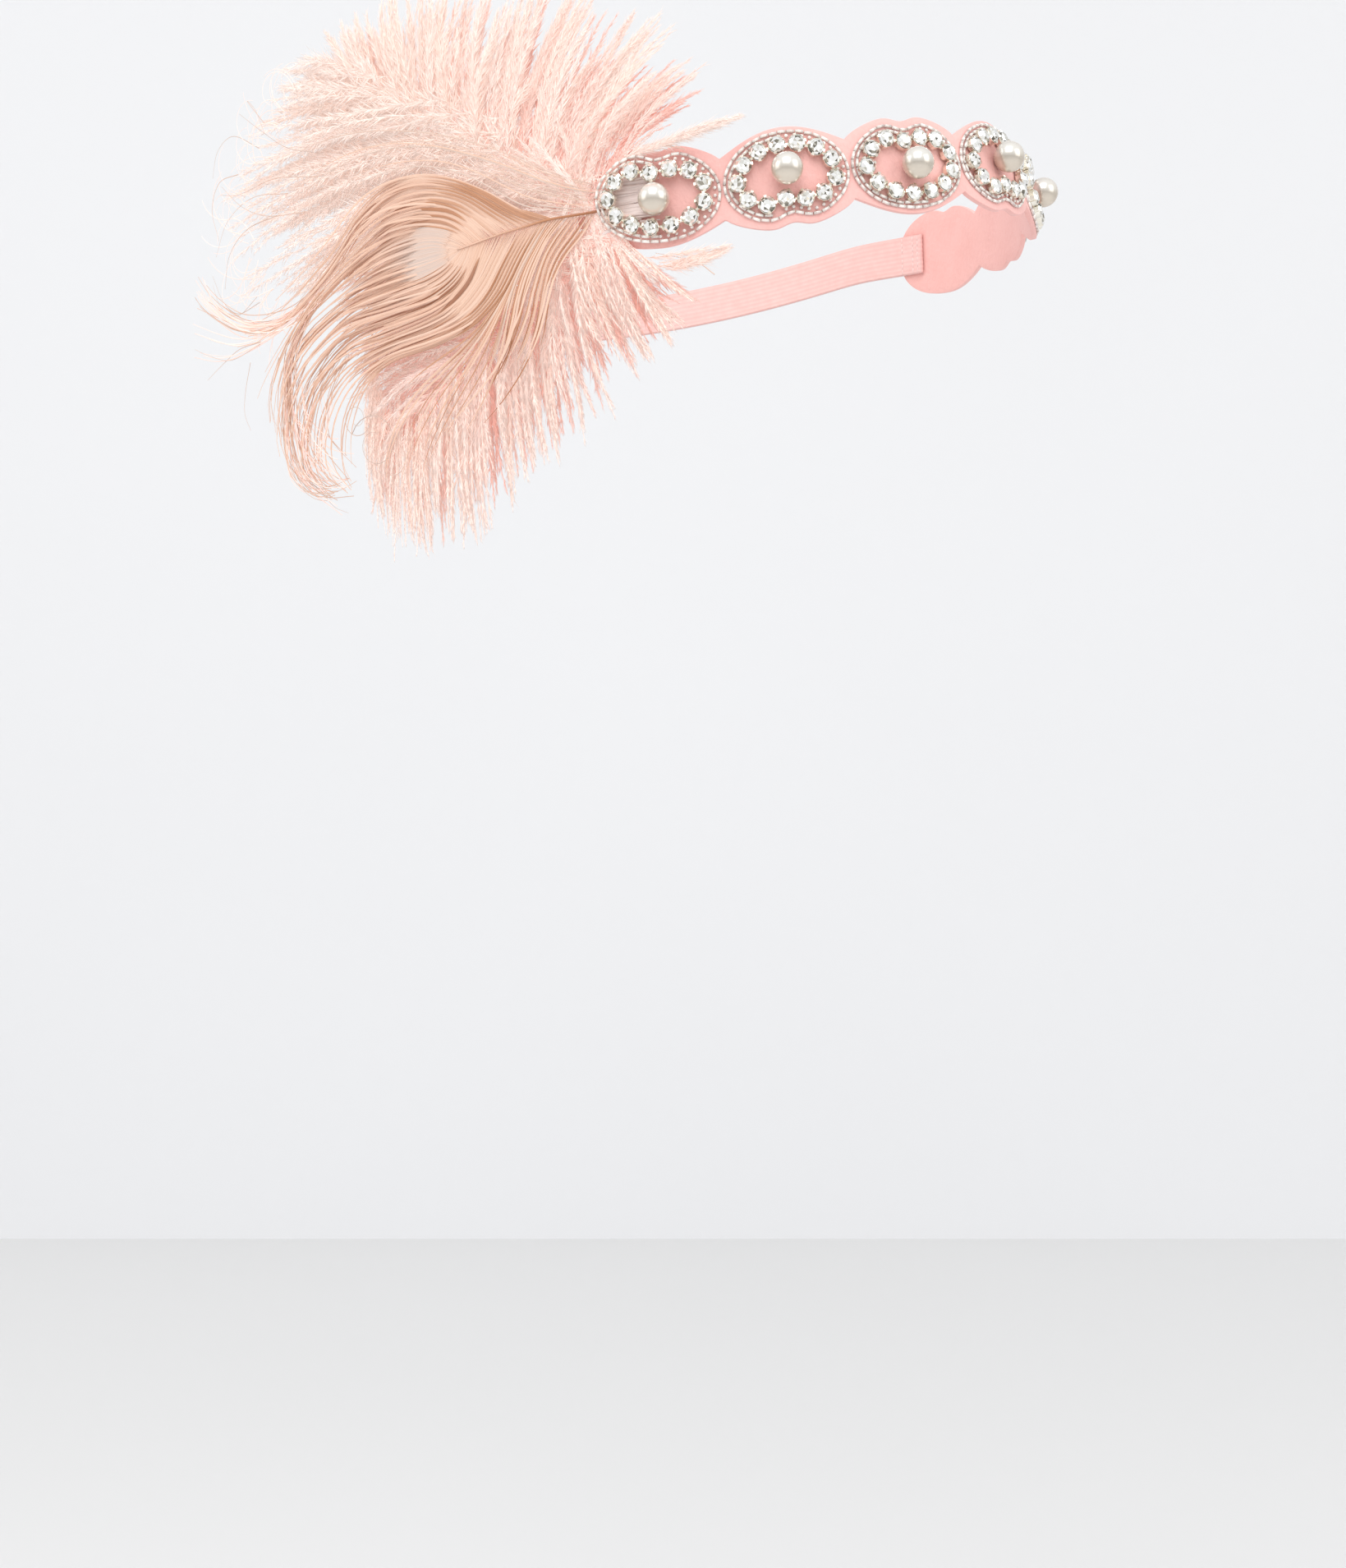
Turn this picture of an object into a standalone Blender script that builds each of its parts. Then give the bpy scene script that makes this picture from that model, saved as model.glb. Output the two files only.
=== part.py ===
"""Flapper headband: a scalloped felt band with seven beaded motifs, closed by an elastic strap.

Each motif is a ring of claw-set stones round one pearl. Three feathers are held under the
motif over the wearer's right temple: two ostrich feathers and, in front of them, one
peacock feather. Lengths are in millimetres and angles in degrees until MM turns them into
metres. The wearer faces -Y, and the feathers are on the -X side. The origin is the middle
of the head loop, and the loop is modelled round the head, in the attitude it is worn in.
"""

import math

import bmesh
import bpy
import numpy as np
from mathutils import Matrix, Vector

MM = 0.001
CLEARANCE = 0.3

# The head loop: an egg seen from above, widest a little behind its middle
LOOP_HALF_LENGTH = 90.6
LOOP_HALF_WIDTH = 78.8
LOOP_EGG = 3.4
WORN_TILT = 8.9
WORN_ROLL = 5.6
LEAN_FRONT = 4.0
LEAN_SIDE = -2.2
LEAN_REACH = 45.0

# Past the temples the band climbs a little on its way round the head
RISE_START = 84.0
RISE_LENGTH = 50.0
RISE_SLOPE = 0.19
RISE_ROUNDING = 8.0

# Motifs, counted from the feathers: the middle one sits over the forehead
MOTIF_COUNT = 7
MOTIF_PITCH = 32.6
STONES_IN_RING = 13
STONE_PHASE = 0.25

# The bean-shaped line that the stones follow
BEAN_REACH = 12.3
BEAN_DOME = 8.3
BEAN_FLAT = 7.4
NOTCH_DEPTH = 2.2
NOTCH_WIDTH = 4.0

# Felt backing
FELT_THICKNESS = 1.4
FELT_NECK = 7.6
FELT_DOME = 13.0
FELT_FLAT = 12.8
FELT_NOTCH = 1.6
FELT_NOTCH_WIDTH = 3.5
FELT_END_REACH = 19.5
FELT_END_POWER = 2.4
FELT_FLAT_POWER = 0.7
FELT_END_BLUNT = 0.4

# Elastic strap, tucked under both ends of the felt
ELASTIC_WIDTH = 12.0
ELASTIC_THICKNESS = 1.0
ELASTIC_TUCK = 10.0

# Claw-set stones and pearls
CUP_RADIUS = 2.25
CUP_HEIGHT = 1.8
CROWN_HEIGHT = 0.9
TABLE_RADIUS = 1.15
FACETS = 8
LINK_WIDTH = 1.2
LINK_HEIGHT = 0.8
LINK_RAISE = 0.2
PEARL_RADIUS = 4.0
PEARL_OFFSET = 1.4

# Feather roots: pressed quills between the felt and the first stone ring
QUILL_WIDTH = 1.6
QUILL_THICKNESS = 1.2
QUILL_GAP = 0.4
QUILL_PLAY = 0.2
ROOT_ALONG = 112.0
LIFT_START = 86.0
LIFT_END = 103.0
LIFT = QUILL_GAP + QUILL_THICKNESS + QUILL_PLAY

# The surface that the feathers spread over, as it leaves the side of the head
PLUME_TURN = -0.12
PLUME_FLARE_START = 8.0
PLUME_FLARE_END = 28.0
FLUFF_THICKNESS = 9.0
VANE_THICKNESS = 1.2
VANE_LAYER = 7.0
VANE_LAYER_START = 6.0
VANE_LAYER_END = 18.0

# Upper ostrich feather, as (back, up) from the feathers' root.
# Its upper barbs stand up in a fan, and its lower barbs sweep back and droop.
UPPER_SHAFT = ((-7, 1.5), (0, 2.0), (6, 4.0), (16, 10), (29, 18), (45, 28.5), (62, 36.5), (80, 47))
UPPER_FRONT_TIPS = ((-31, 29), (-24, 38), (-15, 45), (-4, 51), (11, 56), (28, 61), (47, 61), (66, 57), (85, 53))
UPPER_BACK_TIPS = ((104, -13), (125, -8), (130, 4), (128, 13), (118, 20), (114, 28), (108, 42), (98, 52))

# Lower ostrich feather: its front barbs hang down, its back barbs curl behind the peacock feather
LOWER_SHAFT = ((-7, -6.6), (0, -8.2), (8, -12.5), (21, -21.5), (35, -31.4), (48, -40.5), (62, -50), (76, -59))
LOWER_FRONT_TIPS = ((-31, -30), (-22, -36), (-11, -46), (-2, -54), (8, -62), (20, -68), (33, -81), (50, -91), (71, -88))
LOWER_BACK_TIPS = ((46, -10), (60, -15), (73, -23), (83, -34), (88, -46), (88, -57), (86, -66), (84, -75))

# Peacock feather: stations across the vane, from the quill to the far side of the eye
# (upper back, upper up, rachis back, rachis up, lower back, lower up)
VANE_STATIONS = (
    (10, 0.6, 9, -4.4, 10, -9.0),
    (19, 3.3, 16, -5.3, 17, -14.0),
    (32, 8.0, 25, -6.5, 26, -22.5),
    (45, 12.2, 36, -7.8, 37, -30.0),
    (59, 15.2, 51, -9.4, 53, -33.0),
    (74, 7.5, 66, -13.0, 66, -35.0),
    (85, -4.0, 77, -20.0, 75, -38.5),
)
VANE_QUILL = ((-7, -2.6), (0, -3.5), (5, -4.0))
# The long barbs past the eye: two locks stream back, three hang down
VANE_LOCKS = (
    ((98, -9), (114, -13), (131, -9), (140, -2)),
    ((96, -15), (112, -20), (130, -21), (143, -16)),
    ((94, -22), (103, -35), (105, -52), (101, -67)),
    ((88, -31), (96, -44), (97, -60), (87, -74)),
    ((81, -38), (86, -50), (85, -62), (77, -72)),
)
VANE_LOCK_WIDTHS = (7.0, 5.4, 3.4)

# Mesh fineness
FELT_COLUMNS = 11
FELT_ROWS = 3
END_COLUMNS = 7
ELASTIC_COLUMNS = 64
PEARL_SEGMENTS = 12
PEARL_RINGS = 8
LOCKS_A_SIDE = 15
LOCK_VALLEY = 0.72
LOCK_ROWS = 3
LOCK_TAPER = 0.5
LOCKS_START = 2
TIP_SHARE = 0.4
LOCK_THINNING = 0.2
LOOP_SAMPLES = 2401
BEAN_SAMPLES = 721
CURVE_SAMPLES = 12


def clear_scene():
    for thing in list(bpy.data.objects):
        bpy.data.objects.remove(thing, do_unlink=True)


def smooth_step(value, start, end):
    share = min(max((value - start) / (end - start), 0.0), 1.0)
    return share * share * (3.0 - 2.0 * share)


def soft_ramp(value, rounding):
    """Zero below nought, the value itself above it, with a rounded corner."""
    return (math.hypot(value, rounding) + value) / 2


def loop_outline():
    """The head loop seen from above, and the length along it from the forehead."""
    angles = np.linspace(-math.pi, math.pi, LOOP_SAMPLES)
    x = -LOOP_HALF_WIDTH * np.sin(angles)
    y = -LOOP_HALF_LENGTH * np.cos(angles) + LOOP_EGG * np.sin(angles) ** 2
    steps = np.hypot(np.diff(x), np.diff(y))
    length = np.concatenate([[0.0], np.cumsum(steps)])
    return x, y, length - length[LOOP_SAMPLES // 2]


LOOP_X, LOOP_Y, LOOP_LENGTH = loop_outline()
LOOP_HALF = float(LOOP_LENGTH[-1])
WORN = Matrix.Rotation(math.radians(-WORN_ROLL), 3, 'Y') @ Matrix.Rotation(math.radians(-WORN_TILT), 3, 'X')


def loop_place(along):
    """A point of the loop in plan, at a length from the forehead that may run past the back."""
    wrapped = (along + LOOP_HALF) % (2 * LOOP_HALF) - LOOP_HALF
    return Vector((np.interp(wrapped, LOOP_LENGTH, LOOP_X), np.interp(wrapped, LOOP_LENGTH, LOOP_Y), 0.0))


def rise(along):
    """How far the band's middle line climbs above the loop's plane."""
    distance = abs((along + LOOP_HALF) % (2 * LOOP_HALF) - LOOP_HALF)
    climb = soft_ramp(distance - RISE_START, RISE_ROUNDING)
    past = soft_ramp(climb - RISE_LENGTH, RISE_ROUNDING)
    return RISE_SLOPE * (climb - past)


def band_point(along, across, out):
    """A worn point: along the loop, across the band square to its middle line, and out from the head."""
    slope = rise(along + 0.5) - rise(along - 0.5)
    stretch = math.hypot(1.0, slope)
    height = rise(along) + across / stretch
    along -= across * slope / stretch
    tangent = (loop_place(along + 1.0) - loop_place(along - 1.0)).normalized()
    outward = Vector((-tangent.y, tangent.x, 0.0))
    share = math.exp(-(along / LEAN_REACH) ** 2)
    lean = math.radians(LEAN_SIDE + (LEAN_FRONT - LEAN_SIDE) * share)
    upward = Vector((0.0, 0.0, 1.0))
    normal = outward * math.cos(lean) + upward * math.sin(lean)
    upright = upward * math.cos(lean) - outward * math.sin(lean)
    return WORN @ (loop_place(along) + upright * height + normal * out)


def motif_centre(number):
    """Where a motif sits along the band; the first one holds the feathers."""
    return ((MOTIF_COUNT + 1) / 2 - number) * MOTIF_PITCH


def dome_side(number):
    """Odd motifs have their domed side down, even ones up."""
    return -1 if number % 2 else 1


def motif_lift(along):
    """The first ring stands clear of the quills under it."""
    return LIFT * smooth_step(along, LIFT_START, LIFT_END)


def bean_point(angle):
    """The stones' line in a motif's own plane, domed side up, notched below."""
    across = BEAN_REACH * math.cos(angle)
    if math.sin(angle) >= 0:
        return across, BEAN_DOME * math.sin(angle)
    notch = NOTCH_DEPTH * math.exp(-(across / NOTCH_WIDTH) ** 2)
    return across, BEAN_FLAT * math.sin(angle) + notch


def bean_stops(count, phase):
    """Evenly spaced places along the bean line."""
    angles = np.linspace(math.pi / 2, math.pi / 2 + 2 * math.pi, BEAN_SAMPLES)
    line = np.array([bean_point(angle) for angle in angles])
    length = np.concatenate([[0.0], np.cumsum(np.hypot(*np.diff(line, axis=0).T))])
    stops = (np.arange(count) - phase) * length[-1] / count % length[-1]
    return [(np.interp(stop, length, line[:, 0]), np.interp(stop, length, line[:, 1])) for stop in stops]


def felt_edge(along, side):
    """Half height of the felt on one side, +1 above and -1 below, at a place along the band."""
    last = (MOTIF_COUNT - 1) / 2 * MOTIF_PITCH
    number = round((MOTIF_COUNT + 1) / 2 - along / MOTIF_PITCH)
    number = min(max(number, 1), MOTIF_COUNT)
    offset = along - motif_centre(number)
    domed = dome_side(number) == side
    crest = FELT_DOME if domed else FELT_FLAT
    notch = 0.0 if domed else FELT_NOTCH * math.exp(-(offset / FELT_NOTCH_WIDTH) ** 2)
    if abs(along) > last:
        share = min(abs(offset) / FELT_END_REACH, 1.0)
        return crest * (1.0 - share ** FELT_END_POWER) ** (1 / FELT_END_POWER) - notch
    swell = math.cos(math.pi * offset / MOTIF_PITCH)
    return FELT_NECK + (crest - FELT_NECK) * (swell if domed else swell ** FELT_FLAT_POWER) - notch


def felt_columns():
    """Places along the felt: even steps over the motifs, closing up on the rounded ends."""
    last = (MOTIF_COUNT - 1) / 2 * MOTIF_PITCH
    count = (MOTIF_COUNT - 1) * FELT_COLUMNS
    middle = [-last + 2 * last * step / count for step in range(count + 1)]
    turns = [math.pi / 2 * step / (END_COLUMNS + FELT_END_BLUNT) for step in range(1, END_COLUMNS + 1)]
    end = [last + FELT_END_REACH * math.sin(turn) for turn in turns]
    return [-place for place in reversed(end)] + middle + end


def plume_root():
    """The feathers' root on the felt, with its direction and its lean there, in radians."""
    out = FELT_THICKNESS + QUILL_GAP + QUILL_THICKNESS / 2
    root = band_point(ROOT_ALONG, 0, out)
    tangent = band_point(ROOT_ALONG + 1, 0, out) - band_point(ROOT_ALONG - 1, 0, out)
    heading = math.atan2(tangent.y, tangent.x)
    upright = band_point(ROOT_ALONG, 1, out) - root
    normal = Vector((-math.sin(heading), math.cos(heading), 0.0))
    return root, heading, math.atan2(upright.dot(normal), upright.z)


PLUME_ROOT, PLUME_HEADING, PLUME_LEAN = plume_root()


def plume_point(back, up, out):
    """A point of the feathers' surface: back from the root, up, and out from the head."""
    turn = math.radians(PLUME_TURN)
    heading = PLUME_HEADING + turn * back
    x = (math.sin(heading) - math.sin(PLUME_HEADING)) / turn
    y = (math.cos(PLUME_HEADING) - math.cos(heading)) / turn
    normal = Vector((-math.sin(heading), math.cos(heading), 0.0))
    upward = Vector((0.0, 0.0, 1.0))
    upright = upward * math.cos(PLUME_LEAN) + normal * math.sin(PLUME_LEAN)
    outward = normal * math.cos(PLUME_LEAN) - upward * math.sin(PLUME_LEAN)
    return PLUME_ROOT + Vector((x, y, 0.0)) + upright * up + outward * out


def curve_through(points, count):
    """Evenly spaced places on a smooth curve through a short list of points."""
    knots = [Vector((*point, 0.0)) for point in points]
    knots = [knots[0] * 2 - knots[1]] + knots + [knots[-1] * 2 - knots[-2]]
    fine = []
    for a, b, c, d in zip(knots, knots[1:], knots[2:], knots[3:]):
        for step in range(CURVE_SAMPLES):
            t = step / CURVE_SAMPLES
            fine.append(((b * 2) + (c - a) * t + (a * 2 - b * 5 + c * 4 - d) * t ** 2
                         + (b * 3 - a - c * 3 + d) * t ** 3) / 2)
    fine.append(knots[-2])
    line = np.array([point[:2] for point in fine])
    length = np.concatenate([[0.0], np.cumsum(np.hypot(*np.diff(line, axis=0).T))])
    stops = np.linspace(0.0, length[-1], count)
    return list(zip(np.interp(stops, length, line[:, 0]), np.interp(stops, length, line[:, 1])))


def make_material(name, colour, roughness, metallic=0.0):
    material = bpy.data.materials.new(name)
    material.use_nodes = True
    shader = material.node_tree.nodes['Principled BSDF']
    shader.inputs['Base Color'].default_value = (*colour, 1.0)
    shader.inputs['Roughness'].default_value = roughness
    shader.inputs['Metallic'].default_value = metallic
    return material


def add_object(name, mesh, material):
    mesh.materials.append(material)
    piece = bpy.data.objects.new(name, mesh)
    bpy.context.collection.objects.link(piece)
    return piece


def mesh_from(bm, name):
    mesh = bpy.data.meshes.new(name)
    bm.to_mesh(mesh)
    bm.free()
    return mesh


def grid_sheet(name, rows):
    """A mesh of quads through rows of points, facing away from the head."""
    bm = bmesh.new()
    lines = [[bm.verts.new(point * MM) for point in row] for row in rows]
    for near, far in zip(lines, lines[1:]):
        for a, b, c, d in zip(near, near[1:], far[1:], far):
            bm.faces.new((a, b, c, d))
    return mesh_from(bm, name)


def add_wall(piece, thickness, offset):
    """Gives a sheet its thickness, as a modifier."""
    wall = piece.modifiers.new('wall', 'SOLIDIFY')
    wall.thickness = thickness * MM
    wall.offset = offset
    wall.use_even_offset = False
    return wall


def make_band_backing(material):
    rows = []
    for along in felt_columns():
        low = -felt_edge(along, -1)
        high = felt_edge(along, 1)
        stops = [low + (high - low) * step / FELT_ROWS for step in range(FELT_ROWS + 1)]
        rows.append([band_point(along, across, 0.0) for across in stops])
    piece = add_object('band_backing', grid_sheet('band_backing', rows), material)
    add_wall(piece, FELT_THICKNESS, 1.0)


def make_elastic_strap(material):
    start = (MOTIF_COUNT - 1) / 2 * MOTIF_PITCH + FELT_END_REACH - ELASTIC_TUCK
    length = 2 * (LOOP_HALF - start)
    rows = []
    for step in range(ELASTIC_COLUMNS + 1):
        along = start + length * step / ELASTIC_COLUMNS
        edges = (-ELASTIC_WIDTH / 2, ELASTIC_WIDTH / 2)
        rows.append([band_point(along, across, -CLEARANCE) for across in edges])
    piece = add_object('elastic_strap', grid_sheet('elastic_strap', rows), material)
    add_wall(piece, ELASTIC_THICKNESS, -1.0)


def motif_frame(number, across, along_offset, out):
    """Place and axes of something that stands on a motif."""
    along = motif_centre(number) + along_offset
    place = band_point(along, across, out)
    normal = (band_point(along, across, out + 1) - place).normalized()
    upright = band_point(along, across + 1, out) - place
    upright = (upright - normal * upright.dot(normal)).normalized()
    return place, upright.cross(normal), upright, normal


def add_turned(bm, place, axes, profile, sides):
    """A closed many-sided solid turned about a place's normal, from (radius, height) pairs."""
    side_axis, upright, normal = axes
    rings = []
    for radius, height in profile:
        ring = []
        for step in range(sides):
            angle = 2 * math.pi * (step + 0.5) / sides
            spoke = side_axis * math.cos(angle) + upright * math.sin(angle)
            ring.append(bm.verts.new((place + spoke * radius + normal * height) * MM))
        rings.append(ring)
    bm.faces.new(list(reversed(rings[0])))
    for low, high in zip(rings, rings[1:]):
        for step in range(sides):
            after = (step + 1) % sides
            bm.faces.new((low[step], low[after], high[after], high[step]))
    bm.faces.new(rings[-1])


def stone_mesh(number, seat):
    """The thirteen cups of a ring, each with its cut stone, as one mesh."""
    profile = (
        (CUP_RADIUS, 0.0),
        (CUP_RADIUS, CUP_HEIGHT),
        (TABLE_RADIUS, CUP_HEIGHT + CROWN_HEIGHT),
    )
    bm = bmesh.new()
    for along_offset, across in bean_stops(STONES_IN_RING, STONE_PHASE):
        out = seat + motif_lift(motif_centre(number) + along_offset)
        place, *axes = motif_frame(number, across * dome_side(number), along_offset, out)
        add_turned(bm, place, axes, profile, FACETS)
    bmesh.ops.recalc_face_normals(bm, faces=bm.faces)
    return mesh_from(bm, 'stones_%d' % number)


def link_mesh(number, seat):
    """The bean-shaped strip that joins a ring's cups."""
    bm = bmesh.new()
    stops = bean_stops(STONES_IN_RING, STONE_PHASE)
    sections = []
    for before, here, after in zip(stops[-1:] + stops, stops, stops[1:] + stops[:1]):
        slope = Vector((after[0] - before[0], after[1] - before[1])).normalized()
        section = []
        for sideways, height in ((-1, 0), (1, 0), (1, 1), (-1, 1)):
            shift = sideways * LINK_WIDTH / 2
            along_offset = here[0] - slope.y * shift
            across = (here[1] + slope.x * shift) * dome_side(number)
            lift = motif_lift(motif_centre(number) + along_offset)
            out = seat + lift + LINK_RAISE + LINK_HEIGHT * height
            point = motif_frame(number, across, along_offset, out)[0]
            section.append(bm.verts.new(point * MM))
        sections.append(section)
    for near, far in zip(sections, sections[1:] + sections[:1]):
        for corner in range(4):
            beside = (corner + 1) % 4
            bm.faces.new((near[corner], far[corner], far[beside], near[beside]))
    bmesh.ops.recalc_face_normals(bm, faces=bm.faces)
    return mesh_from(bm, 'links_%d' % number)


def make_stone_ring(number, material):
    seat = FELT_THICKNESS + CLEARANCE
    ring = add_object('stone_ring_%d' % number, stone_mesh(number, seat), material)
    links = add_object('links_%d' % number, link_mesh(number, seat), material)
    links.hide_render = True
    links.display_type = 'WIRE'
    join = ring.modifiers.new('links', 'BOOLEAN')
    join.operation = 'UNION'
    join.object = links


def make_pearl(number, material):
    out = FELT_THICKNESS + CLEARANCE + PEARL_RADIUS
    place, side_axis, upright, normal = motif_frame(number, PEARL_OFFSET * dome_side(number), 0.0, out)
    turn = Matrix((side_axis, upright, normal)).transposed().to_4x4()
    bm = bmesh.new()
    bmesh.ops.create_uvsphere(bm, u_segments=PEARL_SEGMENTS, v_segments=PEARL_RINGS, radius=PEARL_RADIUS * MM)
    mesh = mesh_from(bm, 'pearl_%d' % number)
    mesh.shade_smooth()
    pearl = add_object('pearl_%d' % number, mesh, material)
    pearl.matrix_world = Matrix.Translation(place * MM) @ turn


def between(root, tip, share):
    return tuple(a + (b - a) * share for a, b in zip(root, tip))


class FeatherSheet:
    """A feather's outline as one sheet of faces, with a thickness share at each corner."""

    def __init__(self, layer):
        self.bm = bmesh.new()
        self.layer = layer
        self.shares = []

    def corner(self, place, share):
        back, up = place
        self.shares.append(share)
        return self.bm.verts.new(plume_point(back, up, self.layer(back)) * MM)

    def face(self, *corners):
        self.bm.faces.new(corners)

    def finish(self, name, material, thickness):
        bm = self.bm
        bmesh.ops.recalc_face_normals(bm, faces=bm.faces)
        piece = add_object(name, mesh_from(bm, name), material)
        group = piece.vertex_groups.new(name='fluff')
        for index, share in enumerate(self.shares):
            group.add([index], share, 'REPLACE')
        wall = add_wall(piece, thickness, 0.0)
        wall.vertex_group = 'fluff'


def quill_rows(sheet, line, width, share):
    """Corner pairs along a quill, from its root."""
    rows = []
    for index, place in enumerate(line):
        before = line[max(index - 1, 0)]
        after = line[min(index + 1, len(line) - 1)]
        slope = Vector((after[0] - before[0], after[1] - before[1])).normalized()
        edges = []
        for side in (1, -1):
            edge = (place[0] - side * slope.y * width / 2, place[1] + side * slope.x * width / 2)
            edges.append(sheet.corner(edge, share))
        rows.append(edges)
    return rows


def fluff_share(back):
    """Thickness of an ostrich feather as a share of its fluffiest part."""
    thin = QUILL_THICKNESS / FLUFF_THICKNESS
    return thin + (1.0 - thin) * smooth_step(back, PLUME_FLARE_START, PLUME_FLARE_END)


def add_locks(sheet, roots, root_places, tips):
    """One side of an ostrich feather: a row of locks from the shaft to their pointed tips."""
    rows = [roots]
    for row in range(1, LOCK_ROWS + 1):
        share = LOCK_VALLEY * row / LOCK_ROWS
        line = []
        for place, tip in zip(root_places, tips[::2]):
            spot = between(place, tip, share)
            line.append(sheet.corner(spot, fluff_share(spot[0]) * (1.0 - LOCK_TAPER * share)))
        rows.append(line)
    for near, far in zip(rows, rows[1:]):
        for a, b, c, d in zip(near, far, far[1:], near[1:]):
            sheet.face(a, b, c, d)
    for valley, after, tip in zip(rows[-1], rows[-1][1:], tips[1::2]):
        sheet.face(valley, sheet.corner(tip, QUILL_THICKNESS / FLUFF_THICKNESS), after)


def make_ostrich_feather(name, shaft, front_tips, back_tips, material):
    """A shaft with a fan of locks on either side of it, in one closed sheet."""
    sheet = FeatherSheet(lambda back: 0.0)
    line = curve_through(shaft, LOCKS_A_SIDE + 1 + LOCKS_START)
    thin = QUILL_THICKNESS / FLUFF_THICKNESS
    edges = quill_rows(sheet, line, QUILL_WIDTH, thin)
    for near, far in zip(edges, edges[1:]):
        sheet.face(near[0], near[1], far[1], far[0])
    for side, tips in ((0, front_tips), (1, back_tips)):
        roots = [edge[side] for edge in edges[LOCKS_START:]]
        tip_line = curve_through(tips, 2 * len(roots) - 1)
        add_locks(sheet, roots, line[LOCKS_START:], tip_line)
    sheet.finish(name, material, FLUFF_THICKNESS)


def vane_layer(back):
    """The peacock feather climbs from the quills to lie in front of the ostrich feathers."""
    return VANE_LAYER * smooth_step(back, VANE_LAYER_START, VANE_LAYER_END)


def make_peacock_feather(material):
    sheet = FeatherSheet(vane_layer)
    quill = quill_rows(sheet, VANE_QUILL, QUILL_WIDTH, 1.0)
    for near, far in zip(quill, quill[1:]):
        sheet.face(near[0], near[1], far[1], far[0])
    columns = len(VANE_LOCKS) + 1
    rows = []
    for upper_back, upper_up, mid_back, mid_up, lower_back, lower_up in VANE_STATIONS:
        cross = curve_through(((upper_back, upper_up), (mid_back, mid_up), (lower_back, lower_up)), columns)
        rows.append([sheet.corner(place, 1.0) for place in cross])
    first = rows[0]
    half = columns // 2
    sheet.face(quill[-1][0], *first[:half][::-1])
    sheet.face(quill[-1][0], quill[-1][1], first[half], first[half - 1])
    sheet.face(quill[-1][1], *first[half:][::-1])
    for near, far in zip(rows, rows[1:]):
        for a, b, c, d in zip(near, far, far[1:], near[1:]):
            sheet.face(a, b, c, d)
    for upper, lower, lock in zip(rows[-1], rows[-1][1:], VANE_LOCKS):
        add_vane_lock(sheet, upper, lower, lock)
    sheet.finish('peacock_feather', material, VANE_THICKNESS)


def add_vane_lock(sheet, upper, lower, places):
    """A long tapering lock of barbs that leaves the vane between two of its corners."""
    for index, width in enumerate(VANE_LOCK_WIDTHS):
        before = places[max(index - 1, 0)]
        after = places[index + 1]
        slope = Vector((after[0] - before[0], after[1] - before[1])).normalized()
        place = places[index]
        pair = []
        for side in (1, -1):
            edge = (place[0] - side * slope.y * width / 2, place[1] + side * slope.x * width / 2)
            pair.append(sheet.corner(edge, 1.0 - LOCK_THINNING * index))
        sheet.face(upper, lower, pair[1], pair[0])
        upper, lower = pair
    sheet.face(upper, lower, sheet.corner(places[-1], TIP_SHARE))


def main():
    clear_scene()
    felt = make_material('pink_felt', (0.89, 0.47, 0.47), 0.95)
    elastic = make_material('pale_elastic', (0.90, 0.60, 0.58), 0.8)
    silver = make_material('stones_in_silver', (0.82, 0.82, 0.83), 0.15, metallic=0.8)
    nacre = make_material('cream_pearl', (0.90, 0.85, 0.77), 0.18)
    blush = make_material('blush_ostrich', (0.91, 0.63, 0.56), 0.9)
    beige = make_material('beige_peacock', (0.76, 0.50, 0.36), 0.7)
    make_band_backing(felt)
    make_elastic_strap(elastic)
    for number in range(1, MOTIF_COUNT + 1):
        make_stone_ring(number, silver)
        make_pearl(number, nacre)
    make_ostrich_feather('ostrich_feather_upper', UPPER_SHAFT, UPPER_FRONT_TIPS, UPPER_BACK_TIPS, blush)
    make_ostrich_feather('ostrich_feather_lower', LOWER_SHAFT, LOWER_FRONT_TIPS, LOWER_BACK_TIPS, blush)
    make_peacock_feather(beige)


main()
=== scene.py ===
"""Looks of the flapper headband: beadwork on a felt strip, and a spray of feathers at one side.

Lengths are in millimetres until MM turns them into metres. The band's pieces follow
the band's loop, and the feathers' pieces follow a gently curved surface that leaves
the loop's side, as (back, up, out) from the feathers' root.
"""

import math
from typing import NamedTuple

import bmesh
import bpy
import numpy as np
from mathutils import Matrix, Vector


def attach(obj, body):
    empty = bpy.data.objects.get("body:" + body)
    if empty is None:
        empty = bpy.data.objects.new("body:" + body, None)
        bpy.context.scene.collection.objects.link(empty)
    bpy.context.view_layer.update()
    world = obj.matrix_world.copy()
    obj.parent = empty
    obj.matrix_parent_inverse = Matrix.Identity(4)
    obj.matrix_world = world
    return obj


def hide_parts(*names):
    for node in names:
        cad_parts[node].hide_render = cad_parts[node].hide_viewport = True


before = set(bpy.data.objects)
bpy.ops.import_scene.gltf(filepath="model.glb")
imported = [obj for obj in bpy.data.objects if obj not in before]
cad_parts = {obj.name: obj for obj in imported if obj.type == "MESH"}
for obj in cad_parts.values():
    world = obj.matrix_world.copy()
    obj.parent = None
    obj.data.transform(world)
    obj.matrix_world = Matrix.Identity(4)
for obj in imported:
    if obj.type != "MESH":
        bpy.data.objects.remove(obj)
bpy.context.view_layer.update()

MM = 0.001

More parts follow.
